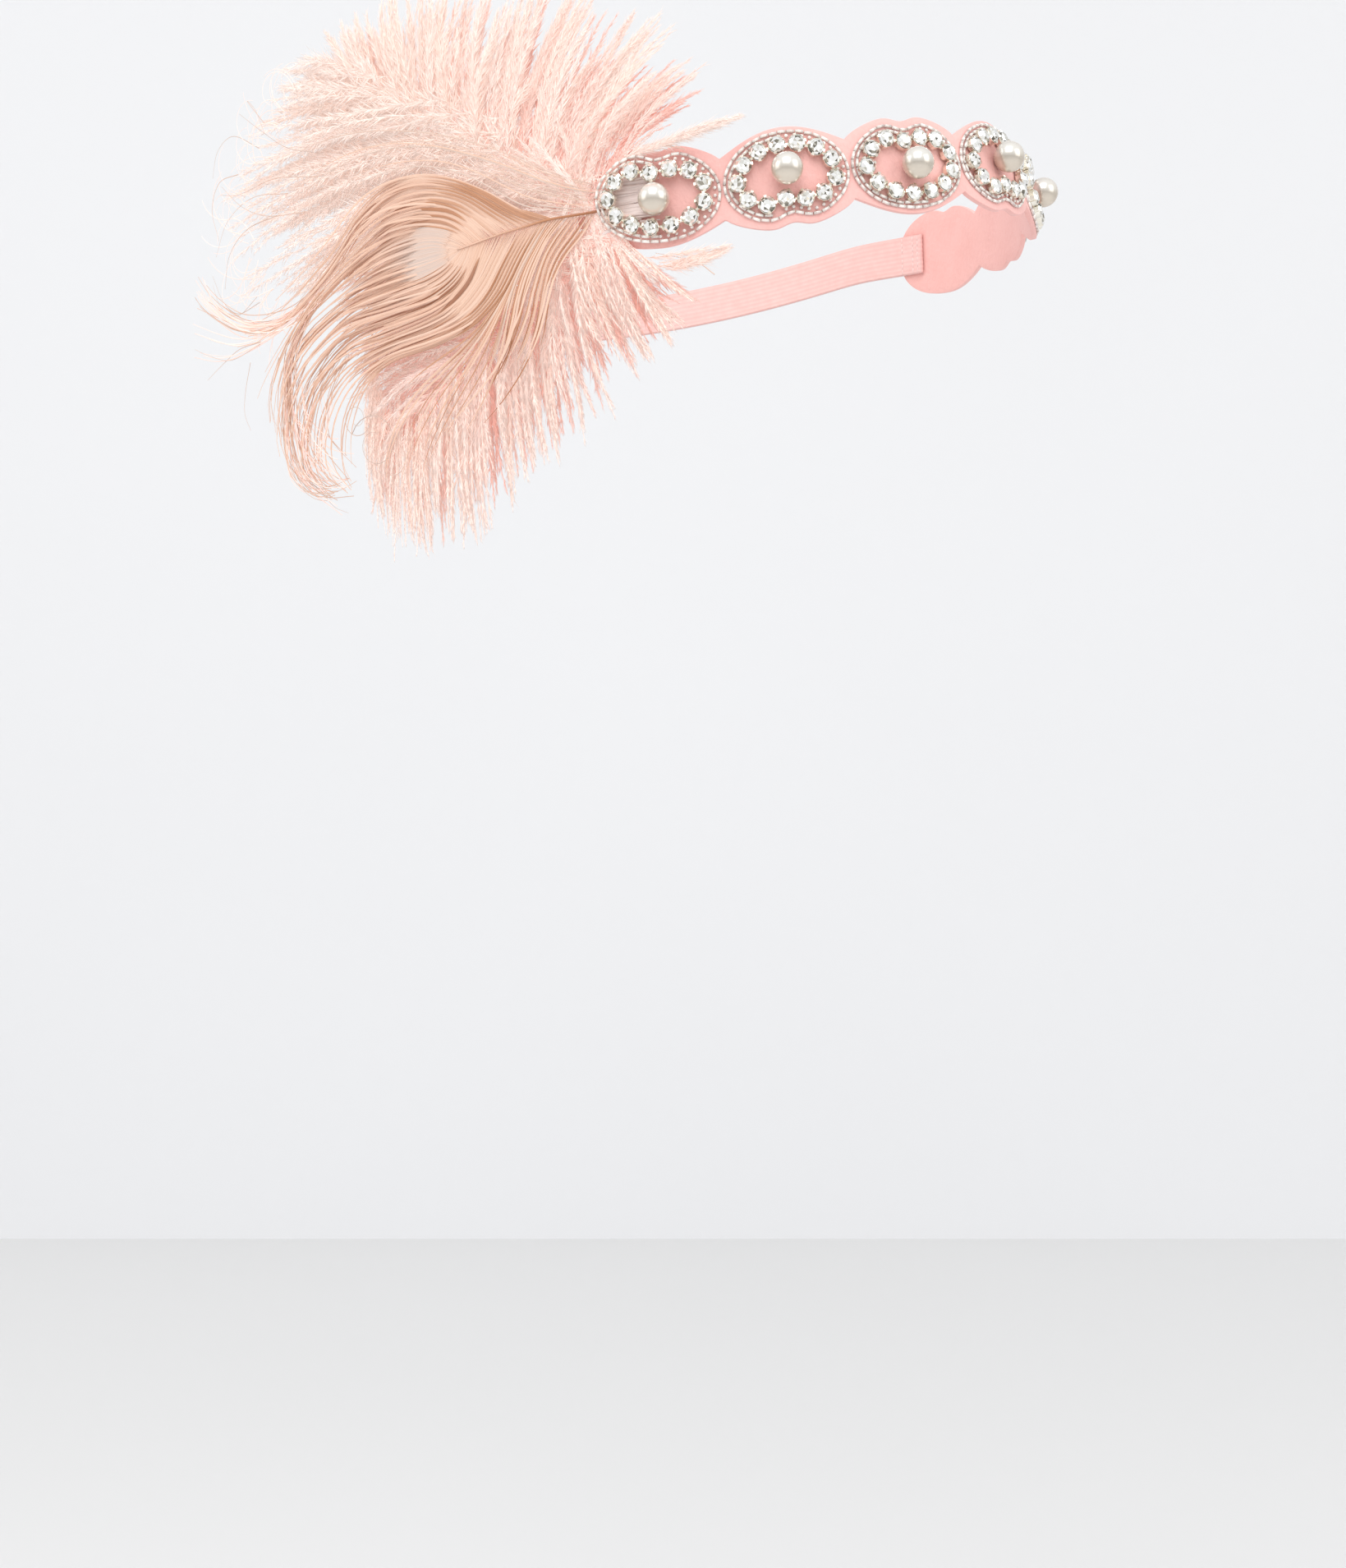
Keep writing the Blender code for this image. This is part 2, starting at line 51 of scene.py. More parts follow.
# The loop and the band's place on it, as in the part's source
LOOP_HALF_LENGTH = 90.6
LOOP_HALF_WIDTH = 78.8
LOOP_EGG = 3.4
LOOP_SAMPLES = 2401
WORN_TILT = 8.9
WORN_ROLL = 5.6
LEAN_FRONT = 4.0
LEAN_SIDE = -2.2
LEAN_REACH = 45.0
RISE_START = 84.0
RISE_LENGTH = 50.0
RISE_SLOPE = 0.19
RISE_ROUNDING = 8.0

# Motifs
MOTIF_COUNT = 7
MOTIF_PITCH = 32.6
LAST_MOTIF = (MOTIF_COUNT - 1) / 2 * MOTIF_PITCH
STONES_IN_RING = 13
STONE_PHASE = 0.25
LINE_SAMPLES = 721

# Bean-shaped lines in a motif: reach, dome, flat, notch depth and notch width
STONE_LINE = (12.3, 8.3, 7.4, 2.2, 4.0)
BORDER_LINE = (15.7, 11.7, 11.0, 2.3, 3.6)
INNER_LINE = (14.5, 10.5, 9.8, 2.3, 3.8)

# Felt
FELT_THICKNESS = 1.4
FELT_NECK = 7.6
FELT_DOME = 13.0
FELT_FLAT = 12.8
FELT_NOTCH = 1.6
FELT_NOTCH_WIDTH = 3.5
FELT_END_REACH = 19.5
FELT_END_POWER = 2.4
FELT_FLAT_POWER = 0.7
FELT_COLUMNS = 420
FELT_ROWS = 8
FELT_SPREAD = 0.985
FELT_END_SQUEEZE = 0.0145
FELT_EDGE_WIDTH = 0.45
FELT_EDGE_ANGLE = 50.0

# Elastic
ELASTIC_WIDTH = 12.0
ELASTIC_THICKNESS = 0.9
ELASTIC_TUCK = 10.0
ELASTIC_GAP = 0.3
ELASTIC_COLUMNS = 240
ELASTIC_RIBS = 9
RIB_DEPTH = 0.16
WEAVE_DEPTH = 0.05
STITCH_LENGTH = 1.2
STITCH_WIDTH = 0.32
STITCH_PITCH = 1.6
STITCH_DEPTH = 0.12
STITCH_INSETS = (1.5, 3.5, 8.0)

# Stones, pearls and beads
SEAT = 1.7
CUP_RADIUS = 2.25
CUP_HEIGHT = 1.8
CLAW_SIZE = (0.34, 0.85, 1.5)
CLAW_BEND = 0.62
CROWN_HEIGHT = 0.95
TABLE_RADIUS = 1.1
LINK_RADIUS = 0.45
LINK_LENGTH = 5.0
LINK_RAISE = 0.6
PEARL_RADIUS = 4.1
PEARL_OFFSET = 1.4
PEARL_OUT = 5.7
BUGLE_LENGTH = 2.05
BUGLE_RADIUS = 0.42
SEED_RADIUS = 0.5
BORDER_BUGLES = 38
INNER_BUGLES = 34
INNER_SEEDS = 40
SEED_SHARE = 0.9
SPLIT_STEP = 3.0
BEAD_RISE = 0.06
BEAD_STRAY = 0.07

# Feather roots
LIFT = 1.8
LIFT_START = 86.0
LIFT_END = 103.0
ROOT_ALONG = 112.0
ROOT_OUT = 2.4
PLUME_TURN = -0.12
VANE_LAYER = 7.0
VANE_LAYER_START = 1.0
VANE_LAYER_END = 14.0

# Where the last place along a line is taken, just short of its end
LAST_SHARE = 0.9999

# The range that a wave's first angle is drawn from
ANY_PHASE = (0, 6.3)


def smooth_step(value, start, end):
    share = np.clip((value - start) / (end - start), 0.0, 1.0)
    return share * share * (3.0 - 2.0 * share)


def soft_ramp(value, rounding):
    """Zero below nought, the value itself above it, with a rounded corner."""
    return (math.hypot(value, rounding) + value) / 2


def unit(vectors):
    return vectors / np.maximum(np.linalg.norm(vectors, axis=-1, keepdims=True), 1e-9)


def loop_outline():
    """The loop seen from above, and the length along it from the middle of its front."""
    angles = np.linspace(-math.pi, math.pi, LOOP_SAMPLES)
    x = -LOOP_HALF_WIDTH * np.sin(angles)
    y = -LOOP_HALF_LENGTH * np.cos(angles) + LOOP_EGG * np.sin(angles) ** 2
    length = np.concatenate([[0.0], np.cumsum(np.hypot(np.diff(x), np.diff(y)))])
    return x, y, length - length[LOOP_SAMPLES // 2]


LOOP_X, LOOP_Y, LOOP_LENGTH = loop_outline()
LOOP_HALF = float(LOOP_LENGTH[-1])
WORN = (Matrix.Rotation(math.radians(-WORN_ROLL), 3, 'Y')
        @ Matrix.Rotation(math.radians(-WORN_TILT), 3, 'X'))


def loop_place(along):
    wrapped = (along + LOOP_HALF) % (2 * LOOP_HALF) - LOOP_HALF
    return Vector((np.interp(wrapped, LOOP_LENGTH, LOOP_X), np.interp(wrapped, LOOP_LENGTH, LOOP_Y), 0.0))


def rise(along):
    """How far the band's middle line climbs above the loop's plane."""
    distance = abs((along + LOOP_HALF) % (2 * LOOP_HALF) - LOOP_HALF)
    climb = soft_ramp(distance - RISE_START, RISE_ROUNDING)
    past = soft_ramp(climb - RISE_LENGTH, RISE_ROUNDING)
    return RISE_SLOPE * (climb - past)


def band_point(along, across, out):
    """A worn point: along the loop, across the band square to its middle line, and outwards."""
    slope = rise(along + 0.5) - rise(along - 0.5)
    stretch = math.hypot(1.0, slope)
    height = rise(along) + across / stretch
    along -= across * slope / stretch
    tangent = (loop_place(along + 1.0) - loop_place(along - 1.0)).normalized()
    outward = Vector((-tangent.y, tangent.x, 0.0))
    share = math.exp(-(along / LEAN_REACH) ** 2)
    lean = math.radians(LEAN_SIDE + (LEAN_FRONT - LEAN_SIDE) * share)
    upward = Vector((0.0, 0.0, 1.0))
    normal = outward * math.cos(lean) + upward * math.sin(lean)
    upright = upward * math.cos(lean) - outward * math.sin(lean)
    return WORN @ (loop_place(along) + upright * height + normal * out)


def motif_centre(number):
    """Where a motif sits along the band; the first one holds the feathers."""
    return ((MOTIF_COUNT + 1) / 2 - number) * MOTIF_PITCH


def dome_side(number):
    """Odd motifs have their domed side down, even ones up."""
    return -1 if number % 2 else 1


def motif_lift(along):
    """The first motif's beads stand clear of the quills under them."""
    return LIFT * float(smooth_step(along, LIFT_START, LIFT_END))


def bean_line(shape, count, phase=0.0):
    """Evenly spaced places along a bean-shaped line, domed side up and notched below."""
    reach, dome, flat, notch_depth, notch_width = shape
    angles = np.linspace(math.pi / 2, math.pi / 2 + 2 * math.pi, LINE_SAMPLES)
    along = reach * np.cos(angles)
    notch = notch_depth * np.exp(-(along / notch_width) ** 2)
    across = np.where(np.sin(angles) >= 0, dome * np.sin(angles), flat * np.sin(angles) + notch)
    length = np.concatenate([[0.0], np.cumsum(np.hypot(np.diff(along), np.diff(across)))])
    stops = (np.arange(count) - phase) * length[-1] / count % length[-1]
    return list(zip(np.interp(stops, length, along), np.interp(stops, length, across)))


def motif_place(number, along_offset, across, out):
    along = motif_centre(number) + along_offset
    return band_point(along, across * dome_side(number), out + motif_lift(along))


def motif_frame(number, along_offset, across, out):
    """A turned and placed frame, in millimetres, for something that stands on a motif."""
    place = motif_place(number, along_offset, across, out)
    normal = (motif_place(number, along_offset, across, out + 1) - place).normalized()
    upright = motif_place(number, along_offset, across + 0.5, out) - place
    upright = (upright - normal * upright.dot(normal)).normalized()
    turn = Matrix((upright.cross(normal), upright, normal)).transposed()
    return Matrix.Translation(place) @ turn.to_4x4()


def felt_edge(along, side):
    """Half height of the felt on one side, +1 above and -1 below, at a place along the band."""
    number = round((MOTIF_COUNT + 1) / 2 - along / MOTIF_PITCH)
    number = min(max(number, 1), MOTIF_COUNT)
    offset = along - motif_centre(number)
    domed = dome_side(number) == side
    crest = FELT_DOME if domed else FELT_FLAT
    notch = 0.0 if domed else FELT_NOTCH * math.exp(-(offset / FELT_NOTCH_WIDTH) ** 2)
    if abs(along) > LAST_MOTIF:
        share = min(abs(offset) / FELT_END_REACH, 1.0)
        return crest * (1.0 - share ** FELT_END_POWER) ** (1 / FELT_END_POWER) - notch
    swell = max(math.cos(math.pi * offset / MOTIF_PITCH), 0.0)
    return FELT_NECK + (crest - FELT_NECK) * (swell if domed else swell ** FELT_FLAT_POWER) - notch


def plume_root():
    """The feathers' root on the felt, with its direction and its lean there, in radians."""
    root = band_point(ROOT_ALONG, 0, ROOT_OUT)
    tangent = band_point(ROOT_ALONG + 1, 0, ROOT_OUT) - band_point(ROOT_ALONG - 1, 0, ROOT_OUT)
    heading = math.atan2(tangent.y, tangent.x)
    upright = band_point(ROOT_ALONG, 1, ROOT_OUT) - root
    normal = Vector((-math.sin(heading), math.cos(heading), 0.0))
    return np.array(root), heading, math.atan2(upright.dot(normal), upright.z)


PLUME_ROOT, PLUME_HEADING, PLUME_LEAN = plume_root()


def plume_axes(back):
    """Upright and outward directions of the feathers' surface, for an array of places."""
    heading = PLUME_HEADING + math.radians(PLUME_TURN) * back
    normal = np.stack([-np.sin(heading), np.cos(heading), np.zeros_like(heading)], -1)
    upward = np.array([0.0, 0.0, 1.0])
    upright = upward * math.cos(PLUME_LEAN) + normal * math.sin(PLUME_LEAN)
    return upright, normal * math.cos(PLUME_LEAN) - upward * math.sin(PLUME_LEAN)


def plume_places(flat):
    """Worn places for an array of (back, up, out)."""
    back, up, out = flat[..., 0], flat[..., 1], flat[..., 2]
    turn = math.radians(PLUME_TURN)
    heading = PLUME_HEADING + turn * back
    x = (np.sin(heading) - math.sin(PLUME_HEADING)) / turn
    y = (math.cos(PLUME_HEADING) - np.cos(heading)) / turn
    upright, outward = plume_axes(back)
    level = np.stack([x, y, np.zeros_like(x)], -1)
    return PLUME_ROOT + level + upright * up[..., None] + outward * out[..., None]


def plume_lines(flat, out):
    """Worn lines for (back, up) lines at some distance out, and the directions that they face."""
    lines = plume_places(np.concatenate([flat, out[..., None]], -1))
    return lines, plume_axes(flat[..., 0])[1]


def smooth_lines(knots, rows):
    """Smooth lines through knots, given as (line, knot, axis), each at the same number of rows."""
    before = 2 * knots[:, :1] - knots[:, 1:2]
    after = 2 * knots[:, -1:] - knots[:, -2:-1]
    chain = np.concatenate([before, knots, after], 1)
    spans = knots.shape[1] - 1
    stops = np.linspace(0, spans, rows)
    index = np.minimum(stops.astype(int), spans - 1)
    t = (stops - index)[None, :, None]
    a, b, c, d = (chain[:, index + shift] for shift in range(4))
    return (2 * b + (c - a) * t + (2 * a - 5 * b + 4 * c - d) * t ** 2 + (3 * b - a - 3 * c + d) * t ** 3) / 2


def running_length(points):
    """Length along a line of points, from nought at its start."""
    return np.concatenate([[0.0], np.cumsum(np.linalg.norm(np.diff(points, axis=0), axis=1))])


def along_curve(points, shares):
    """Places at shares of the length of a smooth curve through a short list of points."""
    fine = smooth_lines(np.array([points], float), 240)[0]
    length = running_length(fine)
    stops = np.asarray(shares) * length[-1]
    return np.stack([np.interp(stops, length, fine[:, axis]) for axis in range(fine.shape[1])], -1)


def along_lines(lines, shares):
    """Places along (line, row, axis) at shares of their rows, given as (line, place)."""
    stops = shares * (lines.shape[1] - 1) * LAST_SHARE
    index = stops.astype(int)
    part = (stops - index)[..., None]
    order = np.arange(len(lines))[:, None]
    return lines[order, index] * (1 - part) + lines[order, index + 1] * part


def shape_arrays(bm):
    """The corners and triangles of a bmesh, which is freed."""
    bmesh.ops.triangulate(bm, faces=bm.faces)
    bm.verts.index_update()
    corners = np.array([vert.co for vert in bm.verts])
    triangles = np.array([[vert.index for vert in face.verts] for face in bm.faces])
    bm.free()
    return corners, triangles


def rod_shape(sides, rows):
    """A closed rod of unit radius from z = 0 to z = 1, cut across for bending."""
    bm = bmesh.new()
    bmesh.ops.create_cone(bm, cap_ends=True, segments=sides, radius1=1, radius2=1, depth=1)
    bmesh.ops.translate(bm, verts=bm.verts, vec=(0, 0, 0.5))
    lengthwise = [edge for edge in bm.edges if abs(edge.verts[0].co.z - edge.verts[1].co.z) > 0.5]
    bmesh.ops.subdivide_edges(bm, edges=lengthwise, cuts=rows - 2)
    return shape_arrays(bm)


def needle_shape():
    """A closed three-sided needle of unit radius and length, its point at z = 1."""
    bm = bmesh.new()
    bmesh.ops.create_cone(bm, cap_ends=True, segments=3, radius1=1, radius2=0, depth=1)
    bmesh.ops.translate(bm, verts=bm.verts, vec=(0, 0, 0.5))
    bmesh.ops.remove_doubles(bm, verts=bm.verts, dist=1e-5)
    return shape_arrays(bm)


def mesh_of(bm, name):
    """A named mesh from a bmesh, which is freed."""
    mesh = bpy.data.meshes.new(name)
    bm.to_mesh(mesh)
    bm.free()
    return mesh


class Pile:
    """Many like shapes gathered into one piece, with named values at their corners or faces."""

    def __init__(self):
        self.corners = []
        self.triangles = []
        self.values = {}
        self.face_values = {}
        self.total = 0

    def add(self, places, triangles, face_values=None, **values):
        """Adds shapes given as (shape, corner, axis) in millimetres."""
        count, each = places.shape[:2]
        starts = self.total + each * np.arange(count)
        self.corners.append(places.reshape(-1, 3))
        self.triangles.append((triangles[None] + starts[:, None, None]).reshape(-1, 3))
        for name, value in values.items():
            spread = np.broadcast_to(value, (count, each)).reshape(-1)
            self.values.setdefault(name, []).append(spread)
        for name, value in (face_values or {}).items():
            self.face_values.setdefault(name, []).append(value.reshape(-1))
        self.total += count * each

    def add_placed(self, shape, matrices, face_values=None, **values):
        """Adds a shape once for each placed frame."""
        corners, triangles = shape
        turns = np.array([[row[:3] for row in matrix][:3] for matrix in matrices])
        moves = np.array([matrix.translation for matrix in matrices])
        places = np.einsum('nij,cj->nci', turns, corners) + moves[:, None]
        self.add(places, triangles, face_values, **values)

    def lay(self, shape, flat, out, widths, thicknesses, **values):
        """Adds rods along (back, up) lines at some distance out, flat side outwards."""
        places, triangles, _ = bend_rods(shape, *plume_lines(flat, out), widths, thicknesses)
        self.add(places, triangles, **values)

    def finish(self, name, material, replaced=(), smooth=True):
        corners = np.concatenate(self.corners) * MM
        triangles = np.concatenate(self.triangles)
        mesh = bpy.data.meshes.new(name)
        mesh.vertices.add(len(corners))
        mesh.vertices.foreach_set('co', corners.astype(np.float32).ravel())
        mesh.loops.add(triangles.size)
        mesh.loops.foreach_set('vertex_index', triangles.astype(np.int32).ravel())
        mesh.polygons.add(len(triangles))
        mesh.polygons.foreach_set('loop_start', np.arange(0, triangles.size, 3, dtype=np.int32))
        mesh.update(calc_edges=True)
        for domain, kinds in (('POINT', self.values), ('FACE', self.face_values)):
            for value_name, parts in kinds.items():
                attribute = mesh.attributes.new(value_name, 'FLOAT', domain)
                attribute.data.foreach_set('value', np.concatenate(parts).astype(np.float32))
        if smooth:
            mesh.shade_smooth()
        else:
            mesh.shade_flat()
        return add_piece(name, mesh, material, replaced)


def link_object(name, data):
    """A new object in the scene that shows its data."""
    item = bpy.data.objects.new(name, data)
    bpy.context.scene.collection.objects.link(item)
    return item


def add_piece(name, mesh, material, replaced=()):
    mesh.materials.append(material)
    piece = link_object(name, mesh)
    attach(piece, "root")
    if replaced:
        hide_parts(*replaced)
    return piece


def bend_rods(shape, lines, facing, widths, thicknesses):
    """Rods laid along lines (line, row, axis), flat side towards the facing directions."""
    corners, triangles = shape
    rows = lines.shape[1]
    forward = unit(np.gradient(lines, axis=1))
    across = unit(np.cross(facing, forward))
    upward = np.cross(forward, across)
    row = np.rint(corners[:, 2] * (rows - 1)).astype(int)
    sideways = corners[:, 0][None, :, None] * widths[:, row, None] / 2
    raised = corners[:, 1][None, :, None] * thicknesses[:, row, None] / 2
    places = lines[:, row] + across[:, row] * sideways + upward[:, row] * raised
    return places, triangles, row / (rows - 1)


def stand_needles(shape, bases, directions, lengths, radii):
    """Needles standing at their bases, as (shape, corner, axis)."""
    corners, triangles = shape
    helper = np.where(np.abs(directions[:, 2:]) > 0.9, [[1.0, 0.0, 0.0]], [[0.0, 0.0, 1.0]])
    first = unit(np.cross(directions, helper))
    second = np.cross(directions, first)
    places = (bases[:, None]
              + first[:, None] * corners[None, :, :1] * radii[:, None, None]
              + second[:, None] * corners[None, :, 1:2] * radii[:, None, None]
              + directions[:, None] * corners[None, :, 2:] * lengths[:, None, None])
    return places, triangles


# Materials

def new_material(name, **values):
    """A material with its node tree and its shader, whose inputs take the values."""
    material = bpy.data.materials.new(name)
    material.use_nodes = True
    tree = material.node_tree
    shader = tree.nodes['Principled BSDF']
    for socket, value in values.items():
        shader.inputs[socket.replace('_', ' ')].default_value = value
    return material, tree, shader


def ramp_node(tree, factor, stops):
    """A colour ramp through (position, colour) stops."""
    ramp = tree.nodes.new('ShaderNodeValToRGB')
    elements = ramp.color_ramp.elements
    while len(elements) < len(stops):
        elements.new(0.5)
    for element, (position, colour) in zip(elements, stops):
        element.position = position
        element.color = (*colour, 1.0)
    tree.links.new(factor, ramp.inputs['Fac'])
    return ramp.outputs['Color']


def mix_colours(tree, factor, first, second):
    """Mixes two colours; each may be a socket or a plain colour, and the factor a socket or number."""
    mix = tree.nodes.new('ShaderNodeMix')
    mix.data_type = 'RGBA'
    for socket, value in ((mix.inputs[0], factor), (mix.inputs[6], first), (mix.inputs[7], second)):
        if isinstance(value, bpy.types.NodeSocket):
            tree.links.new(value, socket)
        elif isinstance(value, tuple):
            socket.default_value = (*value, 1.0)
        else:
            socket.default_value = value
    return mix.outputs[2]


def attribute_value(tree, name):
    node = tree.nodes.new('ShaderNodeAttribute')
    node.attribute_name = name
    return node.outputs['Fac']


def scale_value(tree, socket, factor, offset=0.0):
    node = tree.nodes.new('ShaderNodeMath')
    node.operation = 'MULTIPLY_ADD'
    tree.links.new(socket, node.inputs[0])
    node.inputs[1].default_value = factor
    node.inputs[2].default_value = offset
    return node.outputs[0]


def make_mottle_group():
    """Uneven dye: a mask of noise in the object's own space."""
    group = bpy.data.node_groups.new('uneven_dye', 'ShaderNodeTree')
    for name, way in (('Scale', 'INPUT'), ('Detail', 'INPUT'), ('Mask', 'OUTPUT')):
        group.interface.new_socket(name=name, in_out=way, socket_type='NodeSocketFloat')
    start = group.nodes.new('NodeGroupInput')
    end = group.nodes.new('NodeGroupOutput')
    coordinates = group.nodes.new('ShaderNodeTexCoord')
    noise = group.nodes.new('ShaderNodeTexNoise')
    contrast = group.nodes.new('ShaderNodeMapRange')
    contrast.inputs['From Min'].default_value = 0.3
    contrast.inputs['From Max'].default_value = 0.7
    group.links.new(coordinates.outputs['Object'], noise.inputs['Vector'])
    group.links.new(start.outputs['Scale'], noise.inputs['Scale'])
    group.links.new(start.outputs['Detail'], noise.inputs['Detail'])
    group.links.new(noise.outputs['Fac'], contrast.inputs['Value'])
    group.links.new(contrast.outputs['Result'], end.inputs['Mask'])
    return group


MOTTLE = make_mottle_group()


def mottle(tree, scale, detail=2.0):
    """The uneven dye's mask, with patches about 1 / scale metres wide."""
    node = tree.nodes.new('ShaderNodeGroup')
    node.node_tree = MOTTLE
    node.inputs['Scale'].default_value = scale
    node.inputs['Detail'].default_value = detail
    return node.outputs['Mask']


def add_bump(tree, shader, height, strength, distance):
    bump = tree.nodes.new('ShaderNodeBump')
    bump.inputs['Strength'].default_value = strength
    bump.inputs['Distance'].default_value = distance
    tree.links.new(height, bump.inputs['Height'])
    tree.links.new(bump.outputs['Normal'], shader.inputs['Normal'])


def ramp_material(name, value_name, stops, **values):
    """A material coloured along a ramp by a value that its pieces carry."""
    material, tree, shader = new_material(name, **values)
    tree.links.new(ramp_node(tree, attribute_value(tree, value_name), stops), shader.inputs['Base Color'])
    return material


def felt_material():
    material, tree, shader = new_material(
        'pink_felt', Roughness=0.95, Sheen_Weight=0.35, Sheen_Roughness=0.5,
        Sheen_Tint=(1.0, 0.85, 0.85, 1.0))
    fibres = mottle(tree, 900.0, 4.0)
    colour = mix_colours(tree, mottle(tree, 120.0), (0.88, 0.475, 0.435), (0.91, 0.515, 0.475))
    colour = mix_colours(tree, scale_value(tree, fibres, 0.35), colour, (0.95, 0.57, 0.53))
    tree.links.new(colour, shader.inputs['Base Color'])
    add_bump(tree, shader, fibres, 0.35, 0.0003)
    return material


def elastic_material():
    material, tree, shader = new_material('pale_elastic', Roughness=0.7, Sheen_Weight=0.2)
    colour = mix_colours(tree, mottle(tree, 400.0, 3.0), (0.88, 0.56, 0.52), (0.93, 0.63, 0.59))
    yarn = attribute_value(tree, 'yarn')
    colour = mix_colours(tree, scale_value(tree, yarn, 0.5), colour, (0.80, 0.45, 0.42))
    tree.links.new(colour, shader.inputs['Base Color'])
    add_bump(tree, shader, mottle(tree, 1500.0, 2.0), 0.2, 0.0001)
    return material


def thread_material():
    return new_material('sewing_thread', Base_Color=(0.93, 0.72, 0.69, 1.0), Roughness=0.6)[0]


def silver_material():
    material, tree, shader = new_material('silver_settings', Metallic=1.0)
    tarnish = mottle(tree, 300.0, 3.0)
    colour = mix_colours(tree, tarnish, (0.84, 0.78, 0.67), (0.96, 0.93, 0.85))
    tree.links.new(colour, shader.inputs['Base Color'])
    tree.links.new(scale_value(tree, tarnish, -0.08, 0.26), shader.inputs['Roughness'])
    return material


def stone_material():
    # Each facet is painted from dark through grey to white at random: painted reflections and glints of a cut
    # stone.
    return ramp_material('cut_stones', 'painted_facet_glint', (
        (0.0, (0.10, 0.09, 0.07)),
        (0.12, (0.32, 0.29, 0.23)),
        (0.22, (0.74, 0.72, 0.65)),
        (0.50, (0.97, 0.97, 0.94)),
        (1.0, (1.0, 1.0, 1.0)),
    ), Metallic=0.75, Roughness=0.06, Coat_Weight=1.0, Coat_Roughness=0.02)


def bead_material():
    return ramp_material('silver_lined_beads', 'lining', (
        (0.0, (0.72, 0.63, 0.59)),
        (0.35, (0.85, 0.78, 0.73)),
        (0.65, (0.90, 0.84, 0.79)),
        (1.0, (1.0, 0.97, 0.92)),
    ), Metallic=0.15, Roughness=0.14, Coat_Weight=1.0, Coat_Roughness=0.03)


def pearl_material():
    """Nacre with painted reflections: painted bright above, a painted greyer belt under its middle, a painted
    warm bottom and a painted warm, darker rim.
    """
    material, tree, shader = new_material(
        'cream_pearl', Metallic=0.5, Roughness=0.24, Coat_Weight=0.8, Coat_Roughness=0.1)
    colour = ramp_node(tree, attribute_value(tree, 'level'), (
        (0.0, (0.80, 0.72, 0.62)),
        (0.2, (0.70, 0.63, 0.54)),
        (0.4, (0.54, 0.49, 0.42)),
        (0.54, (0.76, 0.74, 0.69)),
        (0.75, (0.88, 0.87, 0.84)),
        (1.0, (0.82, 0.80, 0.76)),
    ))
    colour = mix_colours(tree, scale_value(tree, mottle(tree, 160.0), 0.12), colour, (0.72, 0.64, 0.54))
    # The rim is painted darker and warm, as a painted reflection.
    rim = tree.nodes.new('ShaderNodeLayerWeight')
    rim.inputs['Blend'].default_value = 0.25
    colour = mix_colours(tree, scale_value(tree, rim.outputs['Facing'], 0.8), colour, (0.70, 0.58, 0.44))
    tree.links.new(colour, shader.inputs['Base Color'])
    return material


def feather_material(name, colours, lighter, darker, glow, **values):
    """Barbs coloured by blush and painted shade, with strand changes that carry painted light and shade too,
    and patch changes.

    The glow stands for light that is scattered on from barbule to barbule many times.
    """
    material, tree, shader = new_material(name, Emission_Strength=glow, **values)
    colour = ramp_node(tree, attribute_value(tree, 'blush'), colours)
    tint = attribute_value(tree, 'tint')
    colour = mix_colours(tree, scale_value(tree, tint, lighter[0]), colour, lighter[1])
    patches = mottle(tree, 90.0)
    colour = mix_colours(tree, scale_value(tree, patches, darker[0]), colour, darker[1])
    tree.links.new(colour, shader.inputs['Base Color'])
    warm = mix_colours(tree, 0.4, colour, (1.0, 0.66, 0.53))
    tree.links.new(warm, shader.inputs['Emission Color'])
    material.cycles.emission_sampling = 'NONE'
    return material


def ostrich_material():
    return feather_material('blush_ostrich', (
        (0.0, (0.93, 0.80, 0.73)),
        (0.35, (0.92, 0.735, 0.655)),
        (0.7, (0.91, 0.58, 0.51)),
        (1.0, (0.88, 0.41, 0.34)),
    ), (0.55, (0.95, 0.88, 0.85)), (0.2, (0.93, 0.68, 0.61)), 0.24, Roughness=0.85)


def peacock_material():
    # Its darkest stops colour the brown rachis and the painted shadow lines between the barbs.
    return feather_material('beige_peacock', (
        (0.0, (0.27, 0.075, 0.015)),
        (0.25, (0.49, 0.215, 0.10)),
        (0.55, (0.77, 0.50, 0.37)),
        (1.0, (0.60, 0.475, 0.415)),
    ), (0.2, (0.88, 0.69, 0.58)), (0.12, (0.80, 0.52, 0.41)), 0.03, Roughness=0.5, Sheen_Weight=0.1)


def quill_material():
    material, tree, shader = new_material('bare_quill', Roughness=0.45)
    colour = mix_colours(tree, mottle(tree, 200.0), (0.80, 0.65, 0.61), (0.92, 0.79, 0.75))
    tree.links.new(colour, shader.inputs['Base Color'])
    return material


# Felt and elastic

def strip_mesh(name, rows):
    """A smooth mesh of quads over rows of points, facing outwards."""
    bm = bmesh.new()
    bmesh.ops.create_grid(bm, x_segments=len(rows[0]) - 1, y_segments=len(rows) - 1, size=0.5)
    points = [point for row in rows for point in row]
    for vert, point in zip(bm.verts, points):
        vert.co = point * MM
    mesh = mesh_of(bm, name)
    mesh.shade_smooth()
    return mesh


def add_wall(piece, thickness, offset):
    """Gives a strip its thickness, out of the loop or into it."""
    wall = piece.modifiers.new('wall', 'SOLIDIFY')
    wall.thickness = thickness * MM
    wall.offset = offset
    wall.use_even_offset = False


